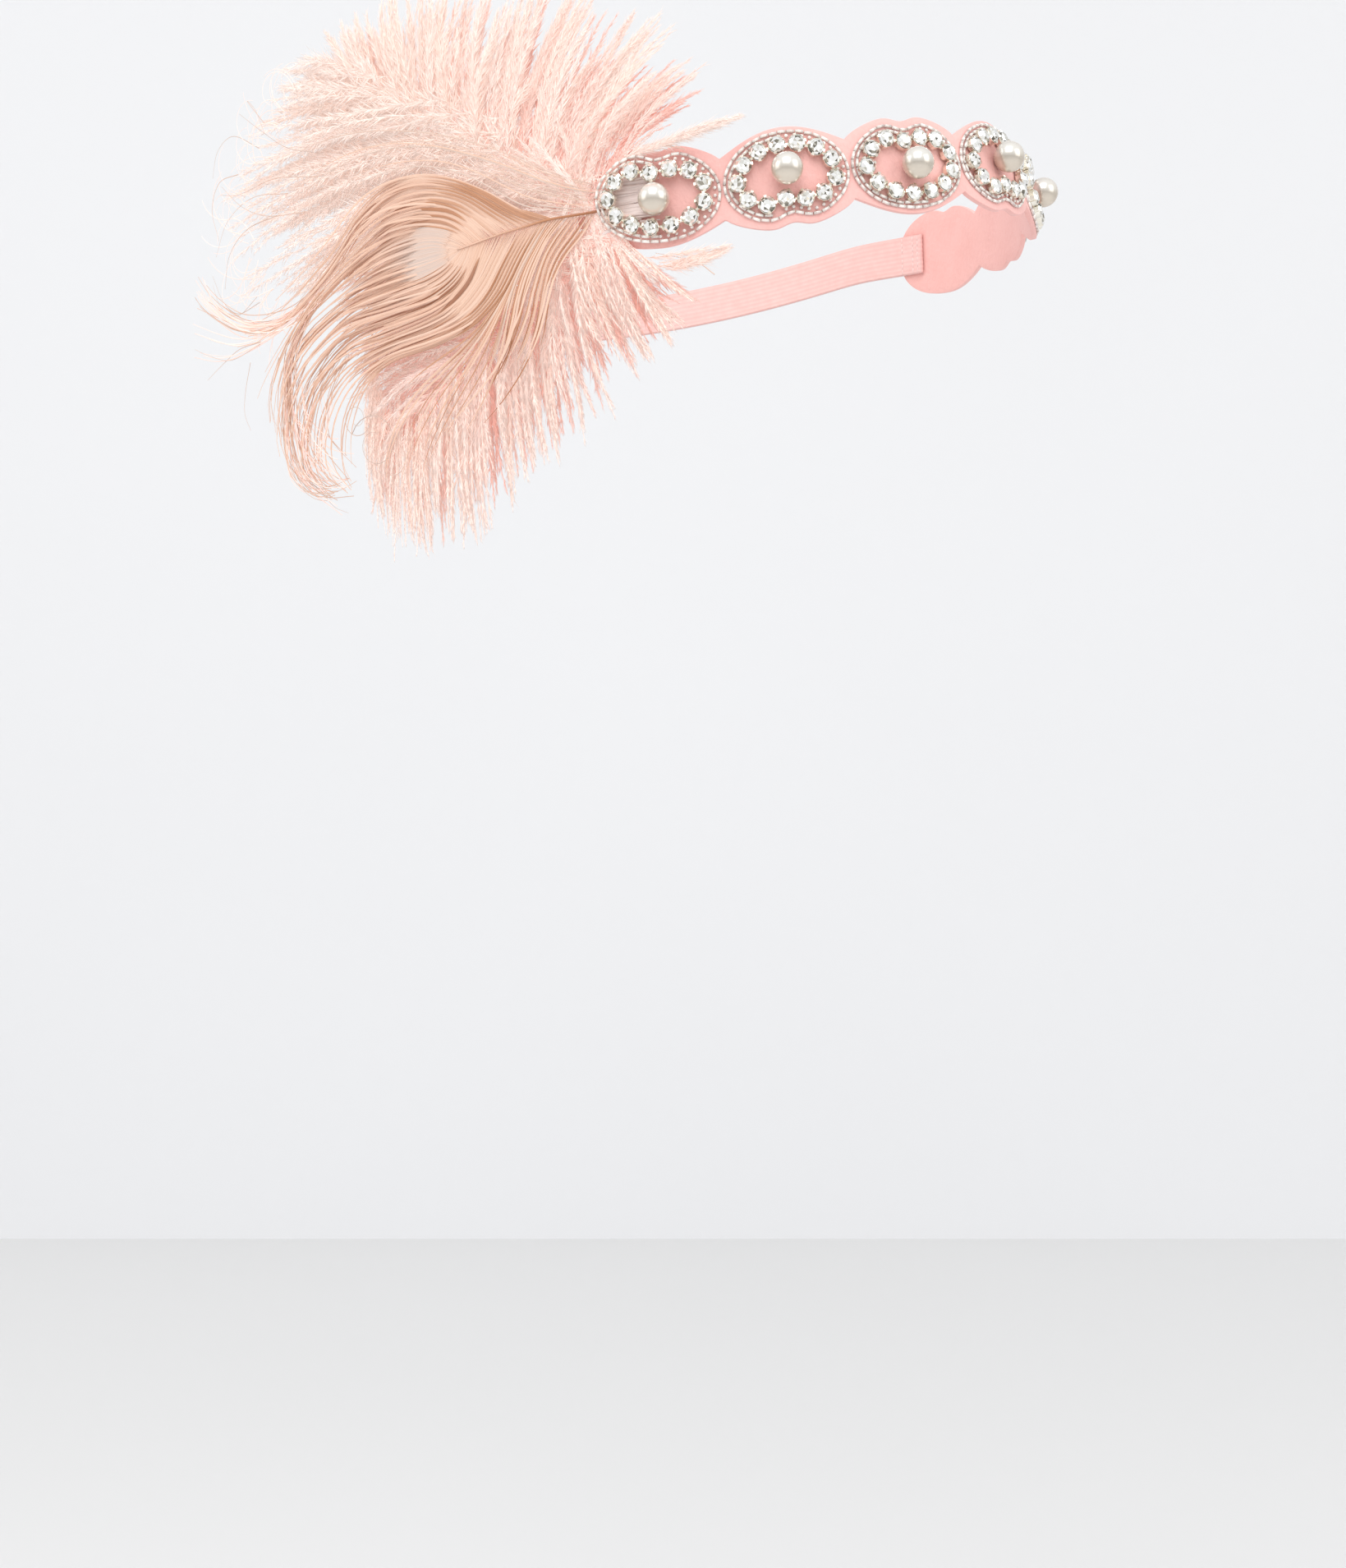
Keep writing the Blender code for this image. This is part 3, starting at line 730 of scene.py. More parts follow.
def make_felt_band(material):
    ends = LAST_MOTIF + FELT_END_REACH
    rows = []
    for step in range(FELT_COLUMNS + 1):
        share = 2 * step / FELT_COLUMNS - 1
        along = ends * (share * FELT_SPREAD + FELT_END_SQUEEZE * math.sin(math.pi / 2 * share))
        low = -felt_edge(along, -1)
        high = felt_edge(along, 1)
        heights = [low + (high - low) * row / FELT_ROWS for row in range(FELT_ROWS + 1)]
        rows.append([band_point(along, height, 0.0) for height in heights])
    mesh = strip_mesh('felt_band', rows)
    piece = add_piece('felt_band', mesh, material, ('band_backing',))
    add_wall(piece, FELT_THICKNESS, 1.0)
    edge = piece.modifiers.new('soft_edge', 'BEVEL')
    edge.width = FELT_EDGE_WIDTH * MM
    edge.segments = 2
    edge.limit_method = 'ANGLE'
    edge.angle_limit = math.radians(FELT_EDGE_ANGLE)


def make_elastic(material):
    start = LAST_MOTIF + FELT_END_REACH - ELASTIC_TUCK
    length = 2 * (LOOP_HALF - start)
    across_stops = ELASTIC_RIBS * 2
    rows = []
    for step in range(ELASTIC_COLUMNS + 1):
        along = start + length * step / ELASTIC_COLUMNS
        row = []
        for stop in range(across_stops + 1):
            groove = 0.0 if stop % 2 else RIB_DEPTH
            pinch = WEAVE_DEPTH if step % 2 else 0.0
            across = ELASTIC_WIDTH * (stop / across_stops - 0.5)
            row.append(band_point(along, across, -ELASTIC_GAP - groove - pinch))
        rows.append(row)
    mesh = strip_mesh('elastic_webbing', rows)
    yarns = [1.0 - stop % 2 for stop in range(across_stops + 1)] * len(rows)
    mesh.attributes.new('yarn', 'FLOAT', 'POINT').data.foreach_set('value', yarns)
    piece = add_piece('elastic_webbing', mesh, material, ('elastic_strap',))
    add_wall(piece, ELASTIC_THICKNESS, -1.0)


def make_stitches(material):
    """Rows of stitches across the elastic's two ends, seen on the inside of the band."""
    start = LAST_MOTIF + FELT_END_REACH - ELASTIC_TUCK
    depth = -ELASTIC_GAP - ELASTIC_THICKNESS - STITCH_DEPTH
    lines = []
    for side in (-1, 1):
        for inset in STITCH_INSETS:
            for across in STITCH_PITCH * np.arange(-3, 4):
                heights = across + STITCH_LENGTH * np.array((-0.5, 0.0, 0.5))
                lines.append([band_point(side * (start + inset), height, depth) for height in heights])
    lines = np.array(lines)
    facing = unit(lines[:, 1:2] * np.array((1.0, 1.0, 0.0)))
    widths = np.full(lines.shape[:2], STITCH_WIDTH)
    places, triangles, _ = bend_rods(rod_shape(6, 3), lines, facing.repeat(3, 1), widths, widths)
    pile = Pile()
    pile.add(places, triangles)
    pile.finish('elastic_stitches', material)


# Stones in claws

def cup_shape():
    """A cup with four claws folded over its rim."""
    rings = ((1.0, 0.35), (1.0, CUP_HEIGHT - 0.1), (0.96, CUP_HEIGHT), (0.86, CUP_HEIGHT - 0.25))
    bm = bmesh.new()
    bmesh.ops.create_circle(bm, cap_ends=True, segments=14, radius=CUP_RADIUS * 0.86)
    face = next(iter(bm.faces))
    for step, (radius, height) in enumerate(rings):
        made = bmesh.ops.extrude_face_region(bm, geom=[face], use_keep_orig=(step == 0))['geom']
        for vert in [item for item in made if isinstance(item, bmesh.types.BMVert)]:
            spoke = Vector((vert.co.x, vert.co.y, 0.0)).normalized()
            vert.co = spoke * CUP_RADIUS * radius + Vector((0, 0, height))
        if step > 0:
            bmesh.ops.delete(bm, geom=[face], context='FACES_ONLY')
        face = next(item for item in made if isinstance(item, bmesh.types.BMFace))
    for quarter in range(4):
        add_claw(bm, math.pi / 2 * quarter + math.pi / 4)
    bmesh.ops.recalc_face_normals(bm, faces=bm.faces)
    return shape_arrays(bm)


def add_claw(bm, angle):
    """One claw: a tapering tab that climbs the cup and bends in over the stone."""
    made = bmesh.ops.create_cube(bm, size=1.0)['verts']
    bmesh.ops.scale(bm, verts=made, vec=CLAW_SIZE)
    bmesh.ops.translate(bm, verts=made, vec=(CUP_RADIUS + 0.02, 0, CUP_HEIGHT - 0.72))
    top = next(face for vert in made for face in vert.link_faces if face.normal.z > 0.9)
    grown = bmesh.ops.extrude_face_region(bm, geom=[top])['geom']
    bmesh.ops.delete(bm, geom=[top], context='FACES_ONLY')
    tip = [item for item in grown if isinstance(item, bmesh.types.BMVert)]
    centre = sum((vert.co for vert in tip), Vector()) / len(tip)
    for vert in tip:
        vert.co = Vector((CUP_RADIUS - CLAW_BEND, 0.0, CUP_HEIGHT + 0.40)) + (vert.co - centre) * CLAW_BEND
    bmesh.ops.rotate(bm, verts=made + tip, cent=(0, 0, 0), matrix=Matrix.Rotation(angle, 3, 'Z'))


def stone_shape():
    """A round cut stone with a dip for its star, crown facets and a girdle, and each face's facet."""
    bm = bmesh.new()
    rings = (
        (TABLE_RADIUS, CROWN_HEIGHT, 8, 0.5),
        (CUP_RADIUS * 0.74, CROWN_HEIGHT * 0.58, 8, 0.0),
        (CUP_RADIUS * 0.90, 0.10, 16, 0.5),
        (CUP_RADIUS * 0.88, -0.10, 16, 0.5),
    )
    for radius, height, count, phase in rings:
        for step in range(count):
            angle = 2 * math.pi * (step + phase) / count
            bm.verts.new((radius * math.cos(angle), radius * math.sin(angle), height + CUP_HEIGHT))
    bmesh.ops.convex_hull(bm, input=bm.verts)
    bmesh.ops.dissolve_limit(bm, angle_limit=math.radians(2), verts=bm.verts, edges=bm.edges)
    tops = [face for face in bm.faces if face.normal.z > 0.99]
    bmesh.ops.poke(bm, faces=tops, offset=-0.10)
    facets = [tuple(round(number, 1) for number in face.normal) for face in bm.faces]
    kinds = {facet: index for index, facet in enumerate(sorted(set(facets)))}
    layer = bm.faces.layers.int.new('facet')
    for face, facet in zip(bm.faces, facets):
        face[layer] = kinds[facet]
    bmesh.ops.triangulate(bm, faces=bm.faces)
    facet_of = np.array([face[layer] for face in bm.faces])
    return shape_arrays(bm), facet_of


def tube_shape(radius, length, hole=0.0):
    """An eight-sided bar along Z about its middle, with a hole in each end if its wall is given."""
    bm = bmesh.new()
    bmesh.ops.create_cone(bm, cap_ends=True, segments=8, radius1=radius, radius2=radius, depth=length)
    if hole:
        caps = [face for face in bm.faces if abs(face.normal.z) > 0.9]
        bmesh.ops.inset_individual(bm, faces=caps, thickness=hole, depth=-0.12)
    return shape_arrays(bm)


def between_places(start, end):
    """A frame half way between two places, whose Z axis runs from one to the other."""
    turn = (end - start).to_track_quat('Z', 'Y').to_matrix().to_4x4()
    return Matrix.Translation(start.lerp(end, 0.5)) @ turn


def make_rings(silver, crystal, rng):
    cup = cup_shape()
    link = tube_shape(LINK_RADIUS, LINK_LENGTH)
    stone, facet_of = stone_shape()
    stops = bean_line(STONE_LINE, STONES_IN_RING, STONE_PHASE)
    for number in range(1, MOTIF_COUNT + 1):
        seats = []
        links = []
        for here, there in zip(stops, stops[1:] + stops[:1]):
            seat = motif_frame(number, *here, SEAT)
            seats.append(seat @ Matrix.Rotation(rng.uniform(0, math.pi), 4, 'Z'))
            start = motif_place(number, *here, SEAT + LINK_RAISE)
            end = motif_place(number, *there, SEAT + LINK_RAISE)
            links.append(between_places(start, end))
        settings = Pile()
        settings.add_placed(cup, seats)
        settings.add_placed(link, links)
        settings.finish('settings_%d' % number, silver, ('stone_ring_%d' % number,),
                        smooth=False)
        # Each facet of each stone gets a random painted brightness, as painted glints and reflections.
        painted_glints = rng.random((STONES_IN_RING, facet_of.max() + 1))
        stones = Pile()
        stones.add_placed(stone, seats, face_values={'painted_facet_glint': painted_glints[:, facet_of]})
        stones.finish('stones_%d' % number, crystal, smooth=False)


def make_pearls(material):
    for number in range(1, MOTIF_COUNT + 1):
        name = 'round_pearl_%d' % number
        along = motif_centre(number)
        place = band_point(along, PEARL_OFFSET * dome_side(number), PEARL_OUT)
        after = band_point(along, PEARL_OFFSET * dome_side(number), PEARL_OUT + 1)
        bm = bmesh.new()
        bmesh.ops.create_uvsphere(bm, u_segments=40, v_segments=24, radius=PEARL_RADIUS * MM)
        turn = (after - place).to_track_quat('Y', 'Z').to_matrix().to_4x4()
        bmesh.ops.transform(bm, matrix=Matrix.Translation(place * MM) @ turn, verts=bm.verts)
        # Each corner's height on the pearl, which the material turns into painted reflections
        levels = [(vert.co.z - place.z * MM) / (PEARL_RADIUS * MM) / 2 + 0.5 for vert in bm.verts]
        mesh = mesh_of(bm, name)
        mesh.attributes.new('level', 'FLOAT', 'POINT').data.foreach_set('value', levels)
        mesh.shade_smooth()
        add_piece(name, mesh, material, ('pearl_%d' % number,))


def seed_shape():
    bm = bmesh.new()
    bmesh.ops.create_uvsphere(bm, u_segments=10, v_segments=6, radius=SEED_RADIUS)
    bmesh.ops.scale(bm, verts=bm.verts, vec=(1, 1, 0.8))
    return shape_arrays(bm)


def bugle_frames(number, stops, first, rng):
    """Frames for bugles from place to place round a motif, where they lie past a first place."""
    frames = []
    for here, there in zip(stops, stops[1:] + stops[:1]):
        if here[0] >= first:
            rest = FELT_THICKNESS + BUGLE_RADIUS + rng.normal(0, BEAD_RISE)
            start = motif_place(number, here[0], here[1] + rng.normal(0, BEAD_STRAY), rest)
            end = motif_place(number, there[0], there[1] + rng.normal(0, BEAD_STRAY), rest)
            frames.append(between_places(start, end))
    return frames


def make_borders(material, rng):
    """Bugles along each motif's edge, and inside them a part row that goes on as seed beads."""
    bugle = tube_shape(BUGLE_RADIUS, BUGLE_LENGTH, hole=0.2)
    seed = seed_shape()
    for number in range(1, MOTIF_COUNT + 1):
        split = SPLIT_STEP * (number % 3 - 1)
        beads = Pile()
        rows = ((BORDER_LINE, BORDER_BUGLES, -math.inf), (INNER_LINE, INNER_BUGLES, split))
        for line, count, first in rows:
            frames = bugle_frames(number, bean_line(line, count, rng.random()), first, rng)
            beads.add_placed(bugle, frames, lining=rng.random((len(frames), 1)))
        seeds = []
        for along_offset, across in bean_line(INNER_LINE, INNER_SEEDS, rng.random()):
            if along_offset < split and rng.random() < SEED_SHARE:
                seeds.append(motif_frame(number, along_offset, across, FELT_THICKNESS + SEED_RADIUS))
        beads.add_placed(seed, seeds, lining=rng.random((len(seeds), 1)))
        beads.finish('border_beads_%d' % number, material)


# Feathers, in (back, up) from the feathers' root

UPPER_SHAFT = ((-3, 1.8), (0, 2.0), (6, 4.0), (16, 10), (29, 18), (45, 28.5), (62, 36.5), (80, 47))
UPPER_FRONT_TIPS = (
    (-31, 29), (-24, 39), (-15, 47), (-4, 54), (11, 60), (28, 65), (47, 65), (66, 60), (85, 55),
)
UPPER_BACK_TIPS = ((108, -16), (128, -11), (134, 2), (133, 13), (125, 22), (119, 31), (111, 43), (100, 53))
LOWER_SHAFT = ((-3, -7.4), (0, -8.2), (8, -12.5), (21, -21.5), (35, -31.4), (48, -40.5), (62, -50), (76, -59))
LOWER_FRONT_TIPS = (
    (-31, -30), (-22, -36), (-11, -46), (-2, -54), (8, -62), (20, -68), (33, -81), (50, -91), (66, -89),
)
LOWER_BACK_TIPS = (
    (52, -10), (72, -14), (86, -22), (88, -33), (86, -46), (84, -57), (82, -68), (80, -77), (73, -86),
)
MIDDLE_LINE = ((14, -5), (24, -10), (36, -18), (46, -28))
MIDDLE_TIPS = ((108, -8), (104, -18), (98, -29), (90, -42), (78, -54))
FRINGE_LINE = ((75, -30), (74, -40), (70, -50), (58, -56))
FRINGE_TIPS = ((78, -62), (77, -76), (69, -88), (56, -92))
ROOT_LINE = ((7, -6), (2, -7), (-2, -5), (3, -1), (8, 1.5))
DOWN_TIPS = ((3, 27), (14, 27), (25, 24), (34, 17), (40, 6), (41, -6), (36, -17), (27, -26), (14, -32))
UPPER_TUFT = (((-11, 11.5), (-14, 12.0), (-17, 12.8)), ((-38, 16.5), (-39, 17.5), (-38, 18.5)))
LOWER_TUFT = (((-14, -15), (-17, -18), (-20, -19)), ((-37, -12), (-38, -14), (-36, -17)))

# Barbs and barbules
BARB_ROWS = 9
BARB_WIDTH = 0.22
BARB_TAPER = 0.11
BARB_TURN = 0.08
TUFT_TURN = 0.22
TUFT_SWAY = 0.8
SWAY_TURN = 4.5
BARBULE_RADIUS = 0.11
BARBULE_LEAN = 29.0
BARBULE_LEAN_CHANGE = 9.0
TIP_LEAN_LOSS = 17.0
BARBULE_SAG = 0.08
WISPY_SHARE = 0.2
# How much pinker barbules are painted near their barbs' roots, as painted shade
ROOT_SHADE = 0.14
COVER_SHARE = 0.3
SHORT_SHARE = 0.38
ROOT_STRAY = 0.015
TUFT_MEETING = (0.2, 0.8)
TUFT_GATHER = (0.5, 0.95)
TUFT_REACH = (0.88, 1.02)
SHORT_REACH = (0.35, 0.85)
UNDER_REACH = (0.5, 0.88)
BARB_REACH = (0.84, 1.0)
BARBULE_REACH = (0.45, 1.1)
COVER_SETBACK = (3, 10)
SETBACK = (0, 3)
TUFT_BEND = 0.03
BARB_BEND = 0.012
TUFT_DEPTH = (1.0, 1.5)
UNDER_DEPTH = (-1.8, 0.9)
BARB_DEPTH = 0.5
DEPTH_LIMITS = (-4.5, 6.0)
SHORT_RAISE = 2.0
COVER_RAISE = 1.2
NEEDLE = needle_shape()
BARB = rod_shape(3, BARB_ROWS)

# What the ostrich barbs lie behind: the peacock feather between its upper and lower edges, and the
# first motif, as an oval
VANE_TOP = ((0, 11, 20, 31, 42, 52, 62, 73, 85, 97), (-1, 0, 5, 11, 15, 17, 16, 11, 0, -14))
VANE_BOTTOM = ((0, 10, 20, 30, 50, 80, 100), (-8, -16, -30, -45, -60, -70, -60))
VANE_MARGIN = 3
VANE_CLEARANCE = 1.2
OPEN_CEILING = 8.0
RING_CENTRE = -14.2
RING_REACH = 16.5
RING_HEIGHT = 12.5


class Fan(NamedTuple):
    """Barbs on one side of an ostrich feather: where they start and end, and how they grow.

    The roots are the first one's share of the shaft, the span and its power. The bend and the
    blush are those of the first, the middle and the last barb. The share called under fills in
    behind, where it is painted pinker and darker as painted shade. Crowd, cling, soft, pale and
    spread say how the barbs crowd to the fan's start, how closely they meet in tufts, how thick the
    barbules behind are and how pale they are painted, less pale being painted shade, and how they lean.
    """
    name: str
    shaft: tuple
    tips: tuple
    barbs: int
    tufts: int
    roots: tuple
    bend: tuple
    blush: tuple
    needles: int
    barbule: float
    under: float = 0.4
    crowd: float = 1.0
    cling: float = 1.0
    soft: float = 1.3
    pale: float = 0.2
    spread: float = 1.0


FANS = (
    Fan('upper_front', UPPER_SHAFT, UPPER_FRONT_TIPS, 290, 48, (0.0, 0.95, 1.12), (-0.22, -0.08, -0.03),
        (0.95, 0.56, 0.22), 35500, 5.0, crowd=1.2, soft=2.8, pale=0.7),
    Fan('upper_back', UPPER_SHAFT, UPPER_BACK_TIPS, 230, 60, (0.10, 0.87, 1.4), (0.10, 0.07, 0.02),
        (-0.08, -0.14, -0.10), 37500, 6.8, 0.7, cling=0.25, soft=2.8, pale=1.0, spread=1.7),
    Fan('lower_front', LOWER_SHAFT, LOWER_FRONT_TIPS, 290, 46, (0.0, 0.85, 1.7), (0.12, 0.06, 0.04),
        (0.74, 0.74, 0.66), 35000, 4.8, soft=2.8, pale=0.45),
    Fan('lower_back', LOWER_SHAFT, LOWER_BACK_TIPS, 170, 26, (0.05, 0.92, 1.3), (0.12, 0.12, 0.12),
        (0.62, 0.66, 0.66), 26500, 5.2, 0.6, crowd=1.15, cling=0.4, soft=2.2, pale=0.5),
    Fan('behind_vane', MIDDLE_LINE, MIDDLE_TIPS, 112, 50, (0.0, 1.0, 1.0), (0.05, 0.05, 0.05),
        (0.35, 0.50, 0.55), 11000, 6.5, 1.0, soft=2.8, pale=0.7, spread=1.3),
    Fan('lower_fringe', FRINGE_LINE, FRINGE_TIPS, 90, 60, (0.0, 1.0, 1.0), (0.05, 0.03, 0.0),
        (0.50, 0.45, 0.50), 8000, 2.6, 0.0, cling=0.2, soft=1.0),
    Fan('root_down', ROOT_LINE, DOWN_TIPS, 90, 26, (0.1, 0.9, 1.0), (0.05, 0.05, 0.05),
        (0.40, 0.25, 0.40), 9500, 4.5, soft=1.8, pale=0.8),
    Fan('upper_tuft', UPPER_TUFT[0], UPPER_TUFT[1], 7, 1, (0.0, 1.0, 1.0), (-0.03, -0.03, -0.03),
        (0.5, 0.5, 0.5), 1300, 4.6, 0.0, soft=1.8),
    Fan('lower_tuft', LOWER_TUFT[0], LOWER_TUFT[1], 6, 1, (0.0, 1.0, 1.0), (0.10, 0.10, 0.10),
        (0.7, 0.7, 0.7), 700, 4.5, 0.0),
)


def room_for_fluff(flat):
    """Nothing behind the first motif's beads, growing to one away from them."""
    inside = np.hypot((flat[..., 0] - RING_CENTRE) / RING_REACH, flat[..., 1] / RING_HEIGHT)
    return smooth_step(inside, 1.0, 1.6)


def ceiling(flat):
    """The most that ostrich barbs may stand out: just under the peacock feather where it covers them."""
    back, up = flat[..., 0], flat[..., 1]
    top = np.interp(back, *VANE_TOP) + VANE_MARGIN
    bottom = np.interp(back, *VANE_BOTTOM) - VANE_MARGIN
    covered = smooth_step(top - up, 0, 5) * smooth_step(up - bottom, 0, 5) * smooth_step(back, 0, 5)
    under = np.maximum(vane_layer(back) - VANE_CLEARANCE, -0.4)
    return OPEN_CEILING + (under - OPEN_CEILING) * covered


def fan_lines(fan, rng):
    """A fan's barbs as (barb, row, axis) in (back, up), and how far out they lie.

    Most barbs meet in pointed tufts, long ones and, over them, short ones; the rest fill in behind.
    Each barb's place in the fan, its tuft, and whether it fills in behind are given with it.
    """
    count = fan.barbs
    tufts = fan.tufts
    share = ((np.arange(count) + rng.random(count)) / count) ** fan.crowd
    tuft = np.minimum((share * tufts).astype(int), tufts - 1)
    meeting_share = np.clip((np.arange(tufts) + rng.uniform(*TUFT_MEETING, tufts)) / tufts, 0, 1)
    start, span, power = fan.roots
    root_share = np.clip(share + rng.normal(0, ROOT_STRAY, count), 0, 1)
    roots = along_curve(fan.shaft, start + span * root_share ** power)
    under = rng.random(count) < fan.under
    short = rng.random(tufts) < (SHORT_SHARE if tufts > 1 else 0)
    covers = (rng.random(tufts) < COVER_SHARE)[tuft]
    reach = rng.uniform(*TUFT_REACH, tufts)
    reach[short] = rng.uniform(*SHORT_REACH, short.sum())
    reach = reach[tuft] * rng.uniform(*BARB_REACH, count)
    reach = np.where(under, rng.uniform(*UNDER_REACH, count), reach)[:, None]
    tips = along_curve(fan.tips, share)
    ends = roots + (tips - roots) * reach
    gather = (along_curve(fan.tips, meeting_share)[tuft] - tips) * reach
    gather = gather * (rng.uniform(*TUFT_GATHER, count) * fan.cling * ~under)[:, None]
    setback = np.where(covers, rng.uniform(*COVER_SETBACK, count), rng.uniform(*SETBACK, count))
    roots = roots - unit(ends - roots) * setback[:, None]
    along = ends - roots
    sideways = np.stack([-along[:, 1], along[:, 0]], -1)
    bend = np.interp(share, (0, 0.5, 1), fan.bend) + rng.normal(0, TUFT_BEND, tufts)[tuft]
    bend = bend + rng.normal(0, BARB_BEND, count)
    middle = (roots + ends) / 2 + sideways * bend[:, None]
    s = np.linspace(0, 1, BARB_ROWS)[None, :, None]
    flat = roots[:, None] * (1 - s) ** 2 + middle[:, None] * 2 * s * (1 - s) + ends[:, None] * s ** 2
    flat = flat + gather[:, None] * s ** 3
    sway = rng.uniform(*ANY_PHASE, (tufts, 1))[tuft] + rng.normal(0, 0.5, (count, 1)) + SWAY_TURN * s[..., 0]
    flat = flat + unit(sideways)[:, None] * (np.sin(sway) * s[..., 0] * TUFT_SWAY)[..., None]
    depth = rng.normal(*TUFT_DEPTH, tufts)[tuft] + (short * SHORT_RAISE)[tuft]
    depth = depth + rng.normal(0, BARB_DEPTH, count)
    depth = np.where(under, rng.normal(*UNDER_DEPTH, count), depth)
    out = np.clip(depth, *DEPTH_LIMITS)[:, None] * np.sin(s[..., 0] * 1.9)
    out = (out + (covers * COVER_RAISE)[:, None] * (1 - s[..., 0])) * room_for_fluff(flat)
    return flat, np.minimum(out, ceiling(flat)), share, tuft, under


def stand_barbules(fan, lines, facing, room, under, rng):
    """Barbules along a fan's barbs as needles, and for each its barb and its place along the barb."""
    length = np.linalg.norm(np.diff(lines, axis=1), axis=2).sum(1)
    counts = np.rint(fan.needles * length / length.sum()).astype(int)
    which = np.repeat(np.arange(fan.barbs), counts)
    total = len(which)
    s = 0.02 + 0.98 * rng.random(total) ** 0.85
    stop = s * (BARB_ROWS - 1) * LAST_SHARE
    index = stop.astype(int)
    part = (stop - index)[:, None]
    base = lines[which, index] * (1 - part) + lines[which, index + 1] * part
    forward = unit(lines[which, index + 1] - lines[which, index])
    side = unit(np.cross(facing[which, index], forward))
    upward = np.cross(forward, side)
    roll = rng.uniform(0, 2 * math.pi, total)
    swing = side * np.cos(roll)[:, None] + upward * (np.sin(roll) * 0.4)[:, None]
    lean = rng.normal(BARBULE_LEAN, BARBULE_LEAN_CHANGE, total) - TIP_LEAN_LOSS * s
    lean = np.radians(lean) * fan.spread
    direction = forward * np.cos(lean)[:, None] + swing * np.sin(lean)[:, None]
    direction[:, 2] -= BARBULE_SAG
    needle_length = fan.barbule * rng.uniform(*BARBULE_REACH, total)
    needle_length = needle_length * (1 - 0.65 * s ** 4) * room[which, index]
    wispy = rng.random(total) < WISPY_SHARE
    needle_length[wispy] *= 1.4
    radius = BARBULE_RADIUS * np.where(wispy, 0.65, 1.05)
    radius *= 1 + (fan.soft - 1) * np.where(under[which], 1.0, 0.5) * (1 - s ** 3)
    return stand_needles(NEEDLE, base, unit(direction), needle_length, radius), which, s[:, None]


def make_fan(fan, material, rng, replaced):
    flat, out, share, tuft, under = fan_lines(fan, rng)
    lines, facing = plume_lines(flat, out)
    tuft_turn = rng.normal(0, TUFT_TURN, (fan.tufts, 1, 3))[tuft]
    facing = unit(facing + tuft_turn + rng.normal(0, BARB_TURN, (fan.barbs, 1, 3)))
    room = 0.25 + 0.75 * room_for_fluff(flat) if fan.tufts > 1 else np.ones(out.shape)
    # Barbs behind the others are painted pinker and darker, and keep less of the lighter tint, as painted
    # shade.
    hue = np.interp(share, (0, 0.5, 1), fan.blush) * np.where(under, 1.05, 0.55) + under * 0.10
    hue = (hue + rng.normal(0, 0.07, fan.tufts)[tuft])[:, None]
    tint = 0.75 * rng.random(fan.tufts)[tuft] + 0.25 * rng.random(fan.barbs)
    tint = (tint * np.where(under, fan.pale, 1.0))[:, None]
    widths = (BARB_WIDTH - BARB_TAPER * np.linspace(0, 1, BARB_ROWS)) * np.ones((fan.barbs, 1))
    places, triangles, _ = bend_rods(BARB, lines, facing, widths, widths * 0.7)
    pile = Pile()
    pile.add(places, triangles, blush=np.clip(hue, 0, 1), tint=0.1 + 0.8 * tint)
    needles, which, s = stand_barbules(fan, lines, facing, room, under, rng)
    # Barbules are painted pinker near their barbs' roots, as painted shade, and lighter towards the barbs'
    # ends, as painted light.
    hue = hue[which] + ROOT_SHADE * (1 - s) ** 2 + rng.normal(0, 0.04, s.shape)
    tint = tint[which] * 0.85 + rng.random(s.shape) * 0.2 + 0.15 * s
    pile.add(*needles, blush=np.clip(hue, 0, 1), tint=np.clip(tint, 0, 1))
    pile.finish('ostrich_barbs_' + fan.name, material, replaced)


def make_shaft(name, points, start_width, out, material, shades=(0.0, 0.0)):
    """A feather's shaft as a tapering rod."""
    flat = along_curve(points, np.linspace(0, 1, SHAFT_ROWS))[None]
    lines, facing = plume_lines(flat, out(flat[..., 0]))
    widths = np.linspace(start_width, SHAFT_END_WIDTH, SHAFT_ROWS)[None]
    places, triangles, row_share = bend_rods(rod_shape(8, SHAFT_ROWS), lines, facing, widths, widths * 0.8)
    pile = Pile()
    pile.add(places, triangles, blush=np.interp(row_share, (0, 1), shades)[None], tint=0.0)
    pile.finish(name, material)


# Peacock feather: guide barbs from the rachis to their tips, from the lower edge round the eye
# to the upper edge

